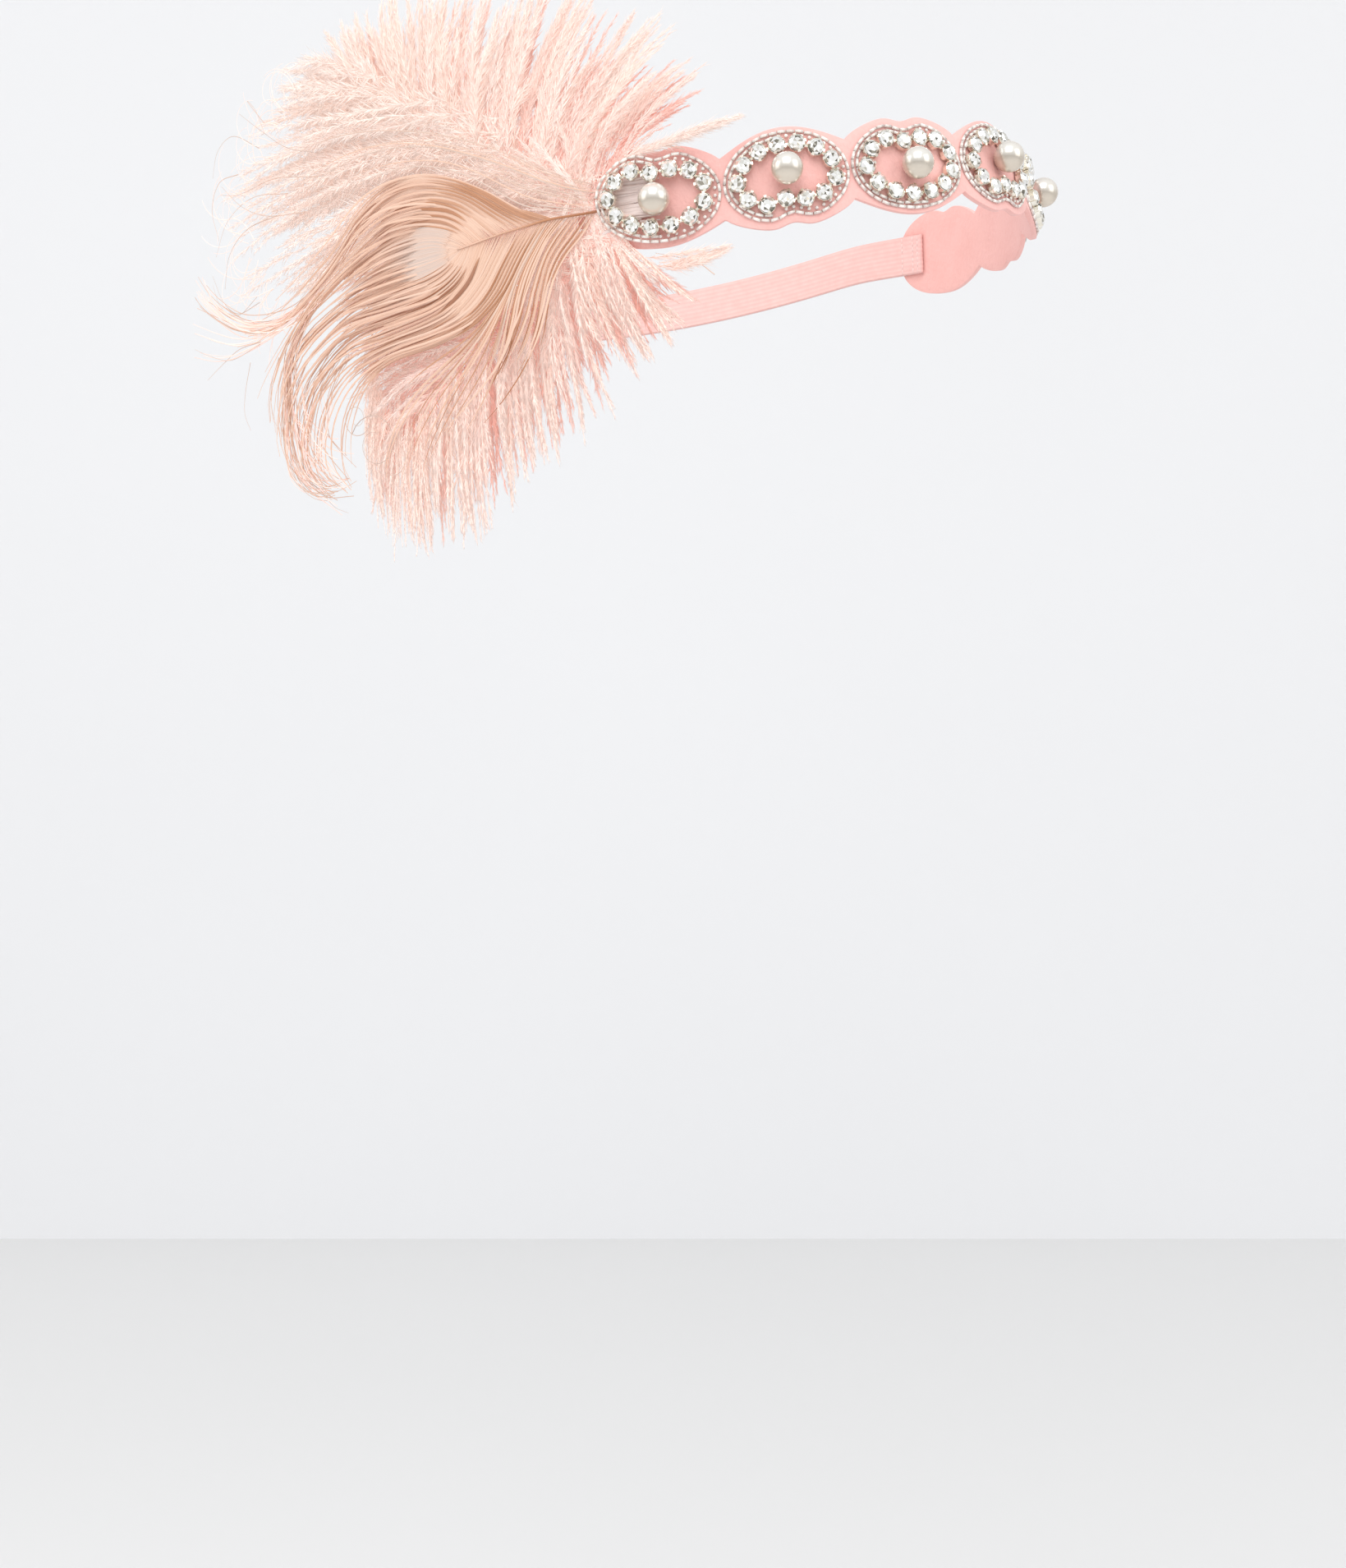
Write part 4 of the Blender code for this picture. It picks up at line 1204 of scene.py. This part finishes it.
VANE_GUIDES = (
    ((14, -4.9), (20, -12), (27, -22), (37, -29.5), (50, -33.5),
     (63, -36), (73, -42), (79, -53), (79, -64), (74, -75)),
    ((20, -5.7), (26, -14), (31.5, -21.5), (39, -27), (50, -30.5),
     (64, -33.5), (78, -39), (87, -49), (89, -62), (80, -71)),
    ((26, -6.5), (30, -12.5), (34.5, -18.5), (41.5, -24.5), (50, -28),
     (64, -31), (79, -36), (91, -47), (94, -61), (84, -69)),
    ((31, -7.2), (33.5, -12), (37, -18), (43, -22.8), (50, -26.3),
     (64, -29.8), (80, -33), (94, -44), (98, -60), (87, -68)),
    ((35, -8), (37, -12.5), (41, -17), (46, -20), (52, -22),
     (64, -24), (80, -28), (96, -40), (102, -57), (92, -68)),
    ((38, -8.7), (40.5, -11.5), (44.5, -14.3), (50, -16.5), (56, -17.8),
     (66, -19.7), (81, -23), (98, -35), (104, -54), (96, -67)),
    ((39.5, -9), (43, -10.5), (48, -12), (54, -13), (60, -14),
     (68, -16), (81, -20), (99, -31), (105, -50), (99, -65)),
    ((39, -8.9), (43.5, -7.6), (48, -6.5), (53, -6.5), (58, -7.5),
     (66, -10), (79, -16), (97, -27), (106, -45), (101, -62)),
    ((36, -8.2), (40, -4.9), (44.7, -2.9), (50, -1.9), (56, -2.1),
     (64, -4.3), (77, -10.5), (95, -23), (106, -41), (103, -59)),
    ((31, -7.2), (36, -2.4), (41.5, 1.2), (47, 2.8), (53, 3.1),
     (62, 1.2), (75, -6.5), (93, -20), (106, -38), (105, -55)),
    ((24, -6.2), (31, -1.2), (38, 3.4), (45, 5.9), (53, 6.6),
     (62, 4.6), (73, -1.5), (86, -13), (111, -24.5), (141, -17)),
    ((17, -5.3), (25, -1.0), (34, 4.6), (43, 8.3), (52, 9.7),
     (62, 8.0), (72, 2.2), (85, -9.5), (110, -21.5), (140, -9)),
    ((11, -4.4), (20, -1.3), (31, 5.2), (42, 10.0), (52, 11.9),
     (62, 10.7), (71, 5.5), (83, -6), (108, -19), (138, -2)),
)
# Painted shadow lines between the vane's barbs, laid as dark barbs, and a brown patch by the rachis in the
# last row: place among the guides, from and to along them, width and shade
VANE_SHADOW_LINES = (
    (8.05, 0.10, 0.42, 0.40, 0.28), (8.30, 0.10, 0.50, 0.75, 0.14), (8.62, 0.11, 0.50, 0.55, 0.16),
    (8.95, 0.12, 0.48, 0.85, 0.16), (9.35, 0.13, 0.50, 0.50, 0.22), (9.62, 0.14, 0.46, 0.70, 0.26),
    (9.95, 0.10, 0.45, 0.45, 0.26), (10.25, 0.03, 0.42, 0.50, 0.22), (10.55, 0.02, 0.45, 0.45, 0.24),
    (10.80, 0.02, 0.36, 0.38, 0.18), (11.00, 0.01, 0.42, 0.45, 0.24), (11.20, 0.01, 0.33, 0.38, 0.16),
    (11.40, 0.00, 0.40, 0.45, 0.24), (11.60, 0.00, 0.30, 0.38, 0.16), (11.80, 0.00, 0.42, 0.45, 0.25),
    (5.45, 0.16, 0.42, 0.22, 0.20), (5.20, 0.14, 0.60, 0.30, 0.06), (4.93, 0.14, 0.48, 0.24, 0.10),
    (4.60, 0.14, 0.44, 0.22, 0.18), (4.28, 0.13, 0.62, 0.34, 0.02), (4.08, 0.16, 0.50, 0.24, 0.06),
    (3.86, 0.14, 0.58, 0.50, 0.00), (3.70, 0.18, 0.46, 0.22, 0.18), (3.08, 0.10, 0.46, 0.95, 0.00),
    (2.30, 0.30, 0.62, 0.28, 0.26), (1.75, 0.34, 0.66, 0.28, 0.25), (1.05, 0.02, 0.40, 0.50, 0.14),
    (0.80, 0.03, 0.58, 0.36, 0.22), (0.55, 0.02, 0.44, 0.32, 0.22), (0.30, 0.03, 0.60, 0.45, 0.18),
    (0.08, 0.02, 0.62, 0.45, 0.18), (6.40, 0.40, 0.64, 0.22, 0.36), (7.20, 0.42, 0.62, 0.25, 0.34),
    (7.60, 0.42, 0.62, 0.45, 0.24), (12.00, 0.00, 0.13, 0.90, 0.20),
)
HANGING_GUIDES = (
    ((2, -2.8), (5, -8), (8.5, -13), (11.5, -19), (13.5, -27),
     (16, -35), (21, -43), (28, -50), (36, -55), (45, -58)),
    ((6, -3.3), (9.5, -9), (13, -15), (15.5, -22), (17.5, -29),
     (21, -37), (27, -45), (35, -53), (44, -61), (51, -68)),
    ((9, -3.8), (13, -9), (17, -15.5), (20, -22), (22, -29),
     (26, -36), (32, -42), (39, -47), (46, -51.5), (53, -55)),
    ((12, -4.4), (17, -10.5), (22, -17.5), (25, -25), (27.5, -33),
     (30.5, -41), (34.5, -48), (39.5, -55), (45, -62), (49, -69)),
    ((15, -4.9), (20.5, -12), (26, -20.5), (33, -28), (41, -34),
     (50, -39), (59, -45), (66, -53), (70, -62), (71, -71)),
)
TOP_GUIDES = (
    ((4, -2.6), (12, -2.4), (20, -0.6), (27, 3.6), (35, 8.4),
     (44, 12), (54, 13.2), (65, 11.8), (76, 7), (88, -1)),
    ((1, -1.6), (9, -1.4), (18, 0.6), (26, 5), (34, 9.8),
     (44, 13.6), (55, 15.2), (68, 14.2), (81, 10), (94, 3)),
    ((0, 0), (8, 0.8), (17, 3.4), (25, 7.4), (33, 11.4),
     (44, 15.6), (57, 17.6), (71, 17), (86, 13), (101, 6)),
    ((0, 2), (8, 3.6), (16, 6.8), (25, 11), (35, 15),
     (47, 18.8), (61, 20.8), (76, 20), (92, 15.6), (108, 8)),
    ((0, 4), (7, 6), (15, 9.6), (25, 14.6), (37, 19.4),
     (50, 23), (65, 24.8), (81, 23.4), (97, 18), (113, 9)),
)
SHAFT_ROWS = 40
SHAFT_END_WIDTH = 0.3
RACHIS = ((-2, -1.8), (0, -2.2), (5, -3.0), (10, -3.9), (20, -5.5), (27, -6.5), (36, -8.2), (40, -8.9))
EYE = (51, -8.5)
EYE_REACH = (8.5, 5.6)
EYE_FIRST = 5.35
EYE_MIDDLE = 6.65
EYE_LAST = 7.95
EYE_HALF = 1.35
EYE_BARBS = 50
STRAND_ROWS = 30
STRAND_STOPS = np.linspace(0, 1, STRAND_ROWS)
STRAND = rod_shape(4, STRAND_ROWS)
TAIL_START = 0.60
TAIL_DEPTH = 2.2
RIBS_A_GUIDE = 3.4
RIB_PINCH = 0.08
LOCKS_A_GUIDE = 1.5
LAID_WIDENING = 1.15
LONG_REACH = (0.78, 1.0)

# Locks of loose barbs past the vane: a curve, how many barbs follow it and how far they stray from it
HOOKED_LOCKS = (
    (((88, -15), (95, -23), (100, -31), (101.5, -41),
      (102, -52), (100, -62), (93, -68), (83, -68)), 12, 1.8),
    (((86, -14), (93, -22), (98.5, -31), (100.5, -42),
      (101.5, -54), (98.5, -64), (91, -69), (80, -67)), 6, 1.5),
    (((80, -28), (87.5, -33), (94, -39), (97, -46), (97, -55), (93, -63), (87, -68), (80, -67)), 5, 1.6),
    (((79, -31), (84.5, -36), (89.5, -42), (92.5, -49), (94, -58), (90, -66), (84, -70)), 4, 1.8),
    (((77, -32), (82.5, -38), (87, -45), (89.5, -53), (86.5, -58), (79.5, -65)), 3, 1.6),
    (((84, -11), (97, -18.5), (107, -20.5), (117, -19.5), (125, -16), (132, -11), (137, -5)), 5, 1.6),
)
PALE_LOCKS = (
    (((87, -14), (94, -22), (99.5, -31), (101, -41),
      (101.5, -52), (99.5, -62), (92, -67), (82, -67)), 8, 2.0),
    (((100, -46), (94, -54), (87, -61.5), (80, -67)), 3, 1.8),
    (((92, -44), (97, -52), (95, -61), (89, -68)), 3, 1.4),
    (((100, -62), (95, -68), (90, -71.5), (83, -75.5)), 2, 0.7),
    (((101, -43), (99, -53), (93, -60), (84, -63)), 3, 2.4),
    (((97, -38), (96, -49), (90, -58), (80, -61)), 3, 2.2),
    (((90, -38), (90, -49), (94, -58), (99, -65)), 2, 1.8),
    (((85, -44), (88, -54), (92, -62), (98, -68)), 2, 1.6),
    (((84, -11), (97, -18.5), (107, -20.5), (117, -19.5), (125, -16), (132, -11), (137, -5)), 11, 1.7),
    (((86, -15), (100, -21), (112, -21.5), (122, -18), (131, -10.5), (134, -3)), 7, 2.0),
    (((90, -17), (106, -23), (117, -25), (127, -23), (141, -17)), 3, 0.8),
    (((90, -18), (108, -25), (120, -27), (130, -27), (141, -25)), 3, 0.8),
)
LOCK_WIDTH = 0.30
LOCK_WAVE = 0.77
LOCK_DEPTH = 1.2
LOCK_REACH = (0.82, 1.0)

# Single stray barbs past the feathers' edges, and curls as (back, up, radius, first angle)
CURLS = ((72, -57, 8.5, 0.4), (66, -62, 5.0, 2.2), (76, -50, 5.0, 3.6))
CURL_TURN = 8.5
STRAY_WIDTH = 0.24
STRAYS = (
    ((116, 22), (124, 21), (128, 14), (126, 5)),
    ((104, 34), (110, 41), (107, 38), (104, 31)),
    ((108, 28), (118, 33), (125, 30), (128, 23)),
    ((110, -26), (122, -29), (131, -27), (138, -24)),
    ((112, -25), (121, -26), (128, -29), (136, -33)),
    ((96, -66), (92, -69), (88, -73), (83, -75)),
    ((112, -14), (121, -16), (127, -12), (131, -4)),
    ((110, -13), (118, -17), (125, -14), (128, -7)),
    ((118, -30), (121, -38), (122, -44), (120, -49)),
    ((106, -30), (110, -38), (110, -46), (107, -52)),
    ((100, 8), (112, 6), (120, 0), (123, -9)),
    ((98, 14), (112, 15), (123, 10), (129, 1)),
    ((86, 23), (96, 26), (105, 32), (113, 38)),
    ((84, 16), (100, 18), (114, 16), (122, 17)),
    ((92, 8), (106, 9), (116, 13), (124, 20)),
    ((-20, 12), (-14, 12.8), (-10, 12.2), (-8, 11)),
    ((-23, 10.5), (-17, 12.2), (-12, 12.0), (-9, 10.5)),
    ((-32, -22), (-26, -18), (-20, -16), (-14, -14.5)),
)

# Where the fine loose barbs at the end of the upper feather start, and how many there are;
# and how many quill ends show in the first motif
LOOSE_LINE = ((92, 40), (104, 28), (113, 14), (114, 2), (108, -10), (100, -16))
LOOSE_BARBS = 64
LOOSE_WIDTH = 0.22
LOOSE_HEADINGS = (1.0, -0.9)
LOOSE_TURN = (0.8, 4.4)
LOOSE_REACH = (13, 27)
LOOSE_DEPTH = (2.0, 7.0)
QUILL_ENDS = 34
QUILL_HEIGHTS = (-6.5, 4.5)
QUILL_REACH = (-16, -10)
QUILL_DEPTH = (-0.75, -0.45)


def vane_layer(back):
    """The peacock feather climbs from the quills to lie in front of the ostrich feathers."""
    return VANE_LAYER * smooth_step(back, VANE_LAYER_START, VANE_LAYER_END)


def strand_lines(guides, count, snap, loose, shortest, rng):
    """Barbs between guides that gather into locks past the vane, in (back, up) and out.

    How far along the guides each barb reaches, and how near it lies to the edge of its rib, are
    given with it.
    """
    fine = smooth_lines(np.array(guides, float), STRAND_ROWS)
    last = len(guides) - 1
    width = running_length(fine[:, STRAND_ROWS * 4 // 10])
    share = (np.arange(count) + rng.random(count) * 0.8) / count
    place = np.interp(share * width[-1], width, np.arange(last + 1))
    lock = np.rint(place * LOCKS_A_GUIDE + rng.normal(0, 0.15, count)) / LOCKS_A_GUIDE
    lock = np.clip(lock, 0, last)[:, None]
    rib = np.clip((np.floor(place * RIBS_A_GUIDE) + 0.5) / RIBS_A_GUIDE, 0, last)[:, None]
    gather = snap * smooth_step(STRAND_STOPS, TAIL_START - 0.15, TAIL_START + 0.25)
    pinch = RIB_PINCH * smooth_step(STRAND_STOPS, 0.05, 0.3)
    where = place[:, None] * (1 - pinch) + rib * pinch
    flat = between_guides(fine, where * (1 - gather) + lock * gather)
    tail = smooth_step(STRAND_STOPS, TAIL_START - 0.1, 1.0)
    loose = loose * (1 - 0.55 * smooth_step(place / last, 0.75, 0.85))[:, None]
    flat = flat + rng.normal(0, 1.0, (count, 1, 2)) * loose[..., None] * tail[:, None]
    curl = rng.uniform(*ANY_PHASE, (count, 1))
    flat[..., 1] += np.sin(curl + 7 * STRAND_STOPS) * tail * 0.5 * loose
    long_share = 0.3 + 0.4 * smooth_step(place / last, 0.78, 0.9)
    reach = np.where(rng.random(count) < long_share, rng.uniform(*LONG_REACH, count),
                     rng.uniform(shortest, shortest + 0.14, count))[:, None]
    flat = along_lines(flat, STRAND_STOPS * reach)
    edge = 2 * np.abs(place * RIBS_A_GUIDE - np.floor(place * RIBS_A_GUIDE) - 0.5)[:, None]
    out = vane_layer(flat[..., 0]) + rng.normal(0, 0.03, (count, 1)) - 0.04 * edge ** 2
    return flat, out + rng.normal(0, TAIL_DEPTH, (count, 1)) * tail, reach, edge


def between_guides(fine, where):
    """Places between guides of (guide, row, axis), where each line and row has its place among the guides."""
    low = np.clip(where.astype(int), 0, len(fine) - 2)
    part = (where - low)[..., None]
    column = np.arange(fine.shape[1])[None]
    return fine[low, column] * (1 - part) + fine[low + 1, column] * part


def make_strands(name, guides, count, width, material, rng, loose=1.6, snap=0.8, shortest=0.55,
                 shade=0.56, vary=0.06, shade_stripes=0.0, replaced=()):
    """One set of peacock barbs: silky where they lie side by side, and loose locks past the vane."""
    flat, out, reach, edge = strand_lines(guides, count, snap, loose, shortest, rng)
    lines, facing = plume_lines(flat, out)
    facing = unit(facing + rng.normal(0, 0.05, (count, 1, 3)))
    rows = STRAND_STOPS * reach
    swell = smooth_step(rows, 0.0, 0.12) * (1 - 0.45 * smooth_step(rows, 0.5, 0.8))
    taper = 1 - 0.6 * smooth_step(STRAND_STOPS, 0.85, 1.0)
    widths = width * (0.35 + 0.65 * swell) * rng.uniform(0.85, 1.15, (count, 1)) * taper
    # Every second barb is narrower and painted darker, as painted shade in the gaps between barbs.
    shade_striped = -shade_stripes * (np.arange(count) % 2)[:, None]
    widths = widths * (1 + shade_striped)
    places, triangles, row_share = bend_rods(STRAND, lines, facing, widths, np.minimum(widths * 0.5, 0.10))
    row = np.rint(row_share * (STRAND_ROWS - 1)).astype(int)
    eye = np.exp(-(((flat - EYE) / EYE_REACH) ** 2).sum(-1))
    # Barbs near the edge of their rib are painted a little darker, as painted shade in the grooves between
    # ribs.
    shades = shade + shade_striped + rng.normal(0, vary, (count, 1)) + 0.4 * eye[:, row] - 0.03 * edge ** 3
    pile = Pile()
    pile.add(places, triangles, blush=np.clip(shades, 0, 1), tint=rng.random((count, 1)))
    pile.finish(name, material, replaced, smooth=False)


def lay_barbs(name, table, lift, edge_shade, material, rng):
    """Barbs laid just over the vane, from rows of (place, start, stop, width, shade)."""
    place, start, stop, width, shade = (np.array(column)[:, None] for column in zip(*table))
    fine = smooth_lines(np.array(VANE_GUIDES, float), STRAND_ROWS)
    flat = between_guides(fine, np.repeat(place, STRAND_ROWS, 1))
    flat = along_lines(flat, start + (stop - start) * STRAND_STOPS)
    flat[..., 1] += np.sin(rng.uniform(*ANY_PHASE, (len(flat), 1)) + 6 * STRAND_STOPS) * 0.12
    lines, facing = plume_lines(flat, vane_layer(flat[..., 0]) + lift)
    widths = LAID_WIDENING * width * (0.12 + 0.88 * np.sin(math.pi * STRAND_STOPS ** 0.8) ** 0.8)
    places, triangles, row_share = bend_rods(STRAND, lines, facing, widths, np.minimum(widths * 0.5, 0.12))
    ends = 1 - np.sin(math.pi * row_share ** 0.8)
    pile = Pile()
    shades = shade + (edge_shade - shade) * ends ** 2
    pile.add(places, triangles, blush=shades, tint=rng.random(shade.shape) ** 2)
    pile.finish(name, material, smooth=False)


def eye_barbs(rng):
    """Rows of the pale barbs that cover the eye: wide, close and almost alike."""
    rows = []
    for place in np.linspace(EYE_FIRST, EYE_LAST, EYE_BARBS):
        reach = max(1 - abs(place - EYE_MIDDLE) / EYE_HALF, 0)
        start = 0.13 - 0.04 * reach + 0.03 * rng.random()
        stop = 0.36 + 0.16 * reach ** 0.5 + rng.uniform(-0.03, 0.03)
        rows.append((place, start, stop, 0.75, 0.92 + rng.normal(0, 0.12)))
    return rows


def make_quill_ends(material, rng):
    """The feathers' flattened ends on the felt, seen through the first motif's ring."""
    count = QUILL_ENDS
    share = np.linspace(0, 1, BARB_ROWS)
    start = np.stack([np.zeros(count), np.linspace(*QUILL_HEIGHTS, count)], -1)
    end = start + 0.5
    end[:, 0] = rng.uniform(*QUILL_REACH, count)
    end[:, 1] += rng.normal(0, 0.5, count)
    flat = start[:, None] + (end - start)[:, None] * share[:, None]
    out = np.repeat(rng.uniform(*QUILL_DEPTH, (count, 1)), BARB_ROWS, 1)
    widths = rng.uniform(0.7, 1.3, (count, 1)) * (1 - 0.6 * share ** 3)
    pile = Pile()
    pile.lay(rod_shape(6, BARB_ROWS), flat, out, widths, np.full(widths.shape, 0.12))
    pile.finish('quill_ends', material)


def make_locks(name, table, material, blush, rng):
    """Loose barbs past the vane that hang and hook back in locks."""
    pile = Pile()
    for points, count, spread in table:
        reach = rng.uniform(*LOCK_REACH, count)
        flat = np.array([along_curve(points, STRAND_STOPS * part) for part in reach])
        flat = flat + rng.normal(0, spread, (count, 1, 2)) * (0.35 + 0.65 * STRAND_STOPS)[:, None]
        wave = np.sin(rng.uniform(*ANY_PHASE, (count, 1)) + 8 * STRAND_STOPS) * STRAND_STOPS * LOCK_WAVE
        flat = flat + wave[..., None]
        out = vane_layer(flat[..., 0]) + rng.normal(0, LOCK_DEPTH, (count, 1)) * STRAND_STOPS
        taper = smooth_step(STRAND_STOPS, 0.0, 0.1) * (1 - 0.6 * smooth_step(STRAND_STOPS, 0.6, 1.0))
        widths = LOCK_WIDTH * (0.3 + 0.7 * taper) * rng.uniform(0.7, 1.2, (count, 1))
        shades = np.clip(rng.normal(blush, 0.10, (count, 1)), 0, 1)
        pile.lay(STRAND, flat, out, widths, widths * 0.5, blush=shades, tint=rng.random((count, 1)) * 0.6)
    pile.finish(name, material)


def make_strays(material, rng):
    """Single barbs that stand out past the feathers' edges, and a few curled ones."""
    flat = [along_curve(points, STRAND_STOPS) for points in STRAYS]
    for back, up, radius, start in CURLS:
        angle = start + STRAND_STOPS * CURL_TURN
        reach = radius * (1 - 0.72 * STRAND_STOPS)
        flat.append(np.stack([back + reach * np.cos(angle), up + reach * np.sin(angle)], -1))
    flat = np.array(flat)
    count = len(flat)
    out = rng.uniform(5.0, 8.5, (count, 1)) * smooth_step(np.abs(flat[..., 0] + 14), 8, 22)
    widths = STRAY_WIDTH * (1 - 0.6 * STRAND_STOPS) * rng.uniform(0.8, 1.2, (count, 1))
    pile = Pile()
    pile.lay(STRAND, flat, out, widths, widths * 0.7,
             blush=rng.uniform(0.7, 1.0, (count, 1)), tint=rng.random((count, 1)))
    pile.finish('stray_barbs', material)


def make_loose_barbs(material, rng):
    """Fine barbs that curl loosely out of the end of the upper feather."""
    count = LOOSE_BARBS
    place = rng.random(count)
    heading = np.interp(place, (0, 1), LOOSE_HEADINGS) + rng.normal(0, 0.5, count)
    turn = rng.choice((-1, 1), count) * rng.uniform(*LOOSE_TURN, count)
    angle = heading[:, None] + turn[:, None] * STRAND_STOPS ** 1.6
    length = rng.uniform(*LOOSE_REACH, count)
    step = np.stack([np.cos(angle), np.sin(angle)], -1) * (length / STRAND_ROWS)[:, None, None]
    flat = along_curve(LOOSE_LINE, place)[:, None] + np.cumsum(step, 1)
    out = np.repeat(rng.uniform(*LOOSE_DEPTH, (count, 1)), STRAND_ROWS, 1)
    widths = LOOSE_WIDTH * (1 - 0.5 * STRAND_STOPS) * rng.uniform(0.7, 1.2, (count, 1))
    pile = Pile()
    pile.lay(STRAND, flat, out, widths, widths * 0.7,
             blush=rng.uniform(0.0, 0.5, (count, 1)), tint=0.6 * rng.random((count, 1)))
    pile.finish('loose_barbs', material)


def shaft_layer(back):
    """The ostrich shafts sink behind their barbs."""
    return -smooth_step(back, -2, 10)


def rachis_layer(back):
    return vane_layer(back) + 0.3


def make_feathers(rng):
    ostrich = ostrich_material()
    peacock = peacock_material()
    quill = quill_material()
    nodes = {'upper_front': ('ostrich_feather_upper',), 'lower_front': ('ostrich_feather_lower',)}
    for fan in FANS:
        make_fan(fan, ostrich, rng, nodes.get(fan.name, ()))
    make_shaft('upper_shaft', UPPER_SHAFT, 1.2, shaft_layer, quill)
    make_shaft('lower_shaft', LOWER_SHAFT, 1.2, shaft_layer, quill)
    make_shaft('peacock_rachis', RACHIS, 0.75, rachis_layer, peacock, (0.02, 0.62))
    make_strands('peacock_vane', VANE_GUIDES, 262, 0.56, peacock, rng, shade=0.53,
                 replaced=('peacock_feather',))
    # Dark barbs laid over the vane as painted shadow lines between its barbs.
    lay_barbs('peacock_shadow_lines', VANE_SHADOW_LINES, 0.16, 0.5, peacock, rng)
    lay_barbs('peacock_eye', eye_barbs(rng), 0.10, 0.6, peacock, rng)
    make_strands('peacock_hanging_barbs', HANGING_GUIDES, 34, 0.62, peacock, rng, loose=0.8, snap=0.2,
                 shortest=0.5, shade=0.62, vary=0.07, shade_stripes=0.38)
    make_strands('peacock_top_barbs', TOP_GUIDES, 11, 0.30, peacock, rng, loose=2.6, snap=0.2,
                 shortest=0.3, shade=0.80, vary=0.14)
    make_locks('hooked_locks', HOOKED_LOCKS, peacock, 0.58, rng)
    make_locks('pale_locks', PALE_LOCKS, ostrich, 0.50, rng)
    make_quill_ends(quill, rng)
    make_strays(peacock, rng)
    make_loose_barbs(ostrich, rng)


# Camera, light and stage

CAMERA_PLACE = (-0.5267, -0.3809, -0.1493)
CAMERA_TURN = -52.86
LENS = 51.35
SENSOR_WIDTH = 36.0
WORLD_STRENGTH = 0.80
FLOOR_HEIGHT = -0.556
WALL_DISTANCE = 2.0
STAGE_SIZE = 8.0

# Each lamp's name, place, size and power
LAMPS = (
    ('key', (-1.1, -0.6, 1.1), (1.2, 1.2), 13.0),
    ('front', (0.1, -1.5, 0.5), (1.0, 1.2), 6.0),
    ('side', (-1.2, 0.9, 0.4), (0.9, 1.2), 5.0),
)


def make_stage():
    """A floor, and a wall behind the headband that stands square to the camera."""
    heading = math.radians(90 + CAMERA_TURN)
    forward = Vector((math.cos(heading), math.sin(heading), 0.0))
    wall_place = Vector((*CAMERA_PLACE[:2], FLOOR_HEIGHT)) + forward * WALL_DISTANCE
    upright = Matrix.Rotation(math.radians(CAMERA_TURN), 4, 'Z') @ Matrix.Rotation(math.radians(90), 4, 'X')
    for name, place, turn, raised, colour in (
        ('floor', Vector((0, 0, FLOOR_HEIGHT)), Matrix.Identity(4), 0.0, (0.80, 0.80, 0.80)),
        ('wall', wall_place, upright, STAGE_SIZE / 2, (0.83, 0.835, 0.85)),
    ):
        bm = bmesh.new()
        bmesh.ops.create_grid(bm, x_segments=4, y_segments=4, size=STAGE_SIZE / 2)
        bmesh.ops.translate(bm, verts=bm.verts, vec=(0, raised, 0))
        bmesh.ops.transform(bm, matrix=Matrix.Translation(place) @ turn, verts=bm.verts)
        mesh = mesh_of(bm, name)
        material, tree, shader = new_material('studio_' + name, Roughness=0.9)
        tone = mix_colours(tree, mottle(tree, 1.2), colour, tuple(part * 1.02 for part in colour))
        tree.links.new(tone, shader.inputs['Base Color'])
        mesh.materials.append(material)
        piece = link_object(name, mesh)


def add_lamp(name, place, size, power):
    """A white panel of light that faces the headband."""
    light = bpy.data.lights.new(name, 'AREA')
    light.shape = 'RECTANGLE'
    light.size, light.size_y = size
    light.energy = power
    lamp = link_object(name, light)
    lamp.location = place
    lamp.rotation_mode = 'QUATERNION'
    lamp.rotation_quaternion = Vector(place).to_track_quat('Z', 'Y')


def make_studio():
    scene = bpy.context.scene
    camera_data = bpy.data.cameras.new('photo_camera')
    camera_data.lens = LENS
    camera_data.sensor_width = SENSOR_WIDTH
    camera = link_object('photo_camera', camera_data)
    camera.location = CAMERA_PLACE
    camera.rotation_euler = (math.radians(90), 0.0, math.radians(CAMERA_TURN))
    scene.camera = camera
    world = bpy.data.worlds.new('studio')
    world.use_nodes = True
    background = world.node_tree.nodes['Background']
    background.inputs['Color'].default_value = (1.0, 1.0, 1.0, 1.0)
    background.inputs['Strength'].default_value = WORLD_STRENGTH
    scene.world = world
    scene.view_settings.view_transform = 'Standard'
    for lamp in LAMPS:
        add_lamp(*lamp)
    make_stage()


def main():
    rng = np.random.default_rng(7)
    make_felt_band(felt_material())
    make_elastic(elastic_material())
    make_stitches(thread_material())
    make_rings(silver_material(), stone_material(), rng)
    make_pearls(pearl_material())
    make_borders(bead_material(), rng)
    make_feathers(rng)
    make_studio()


main()
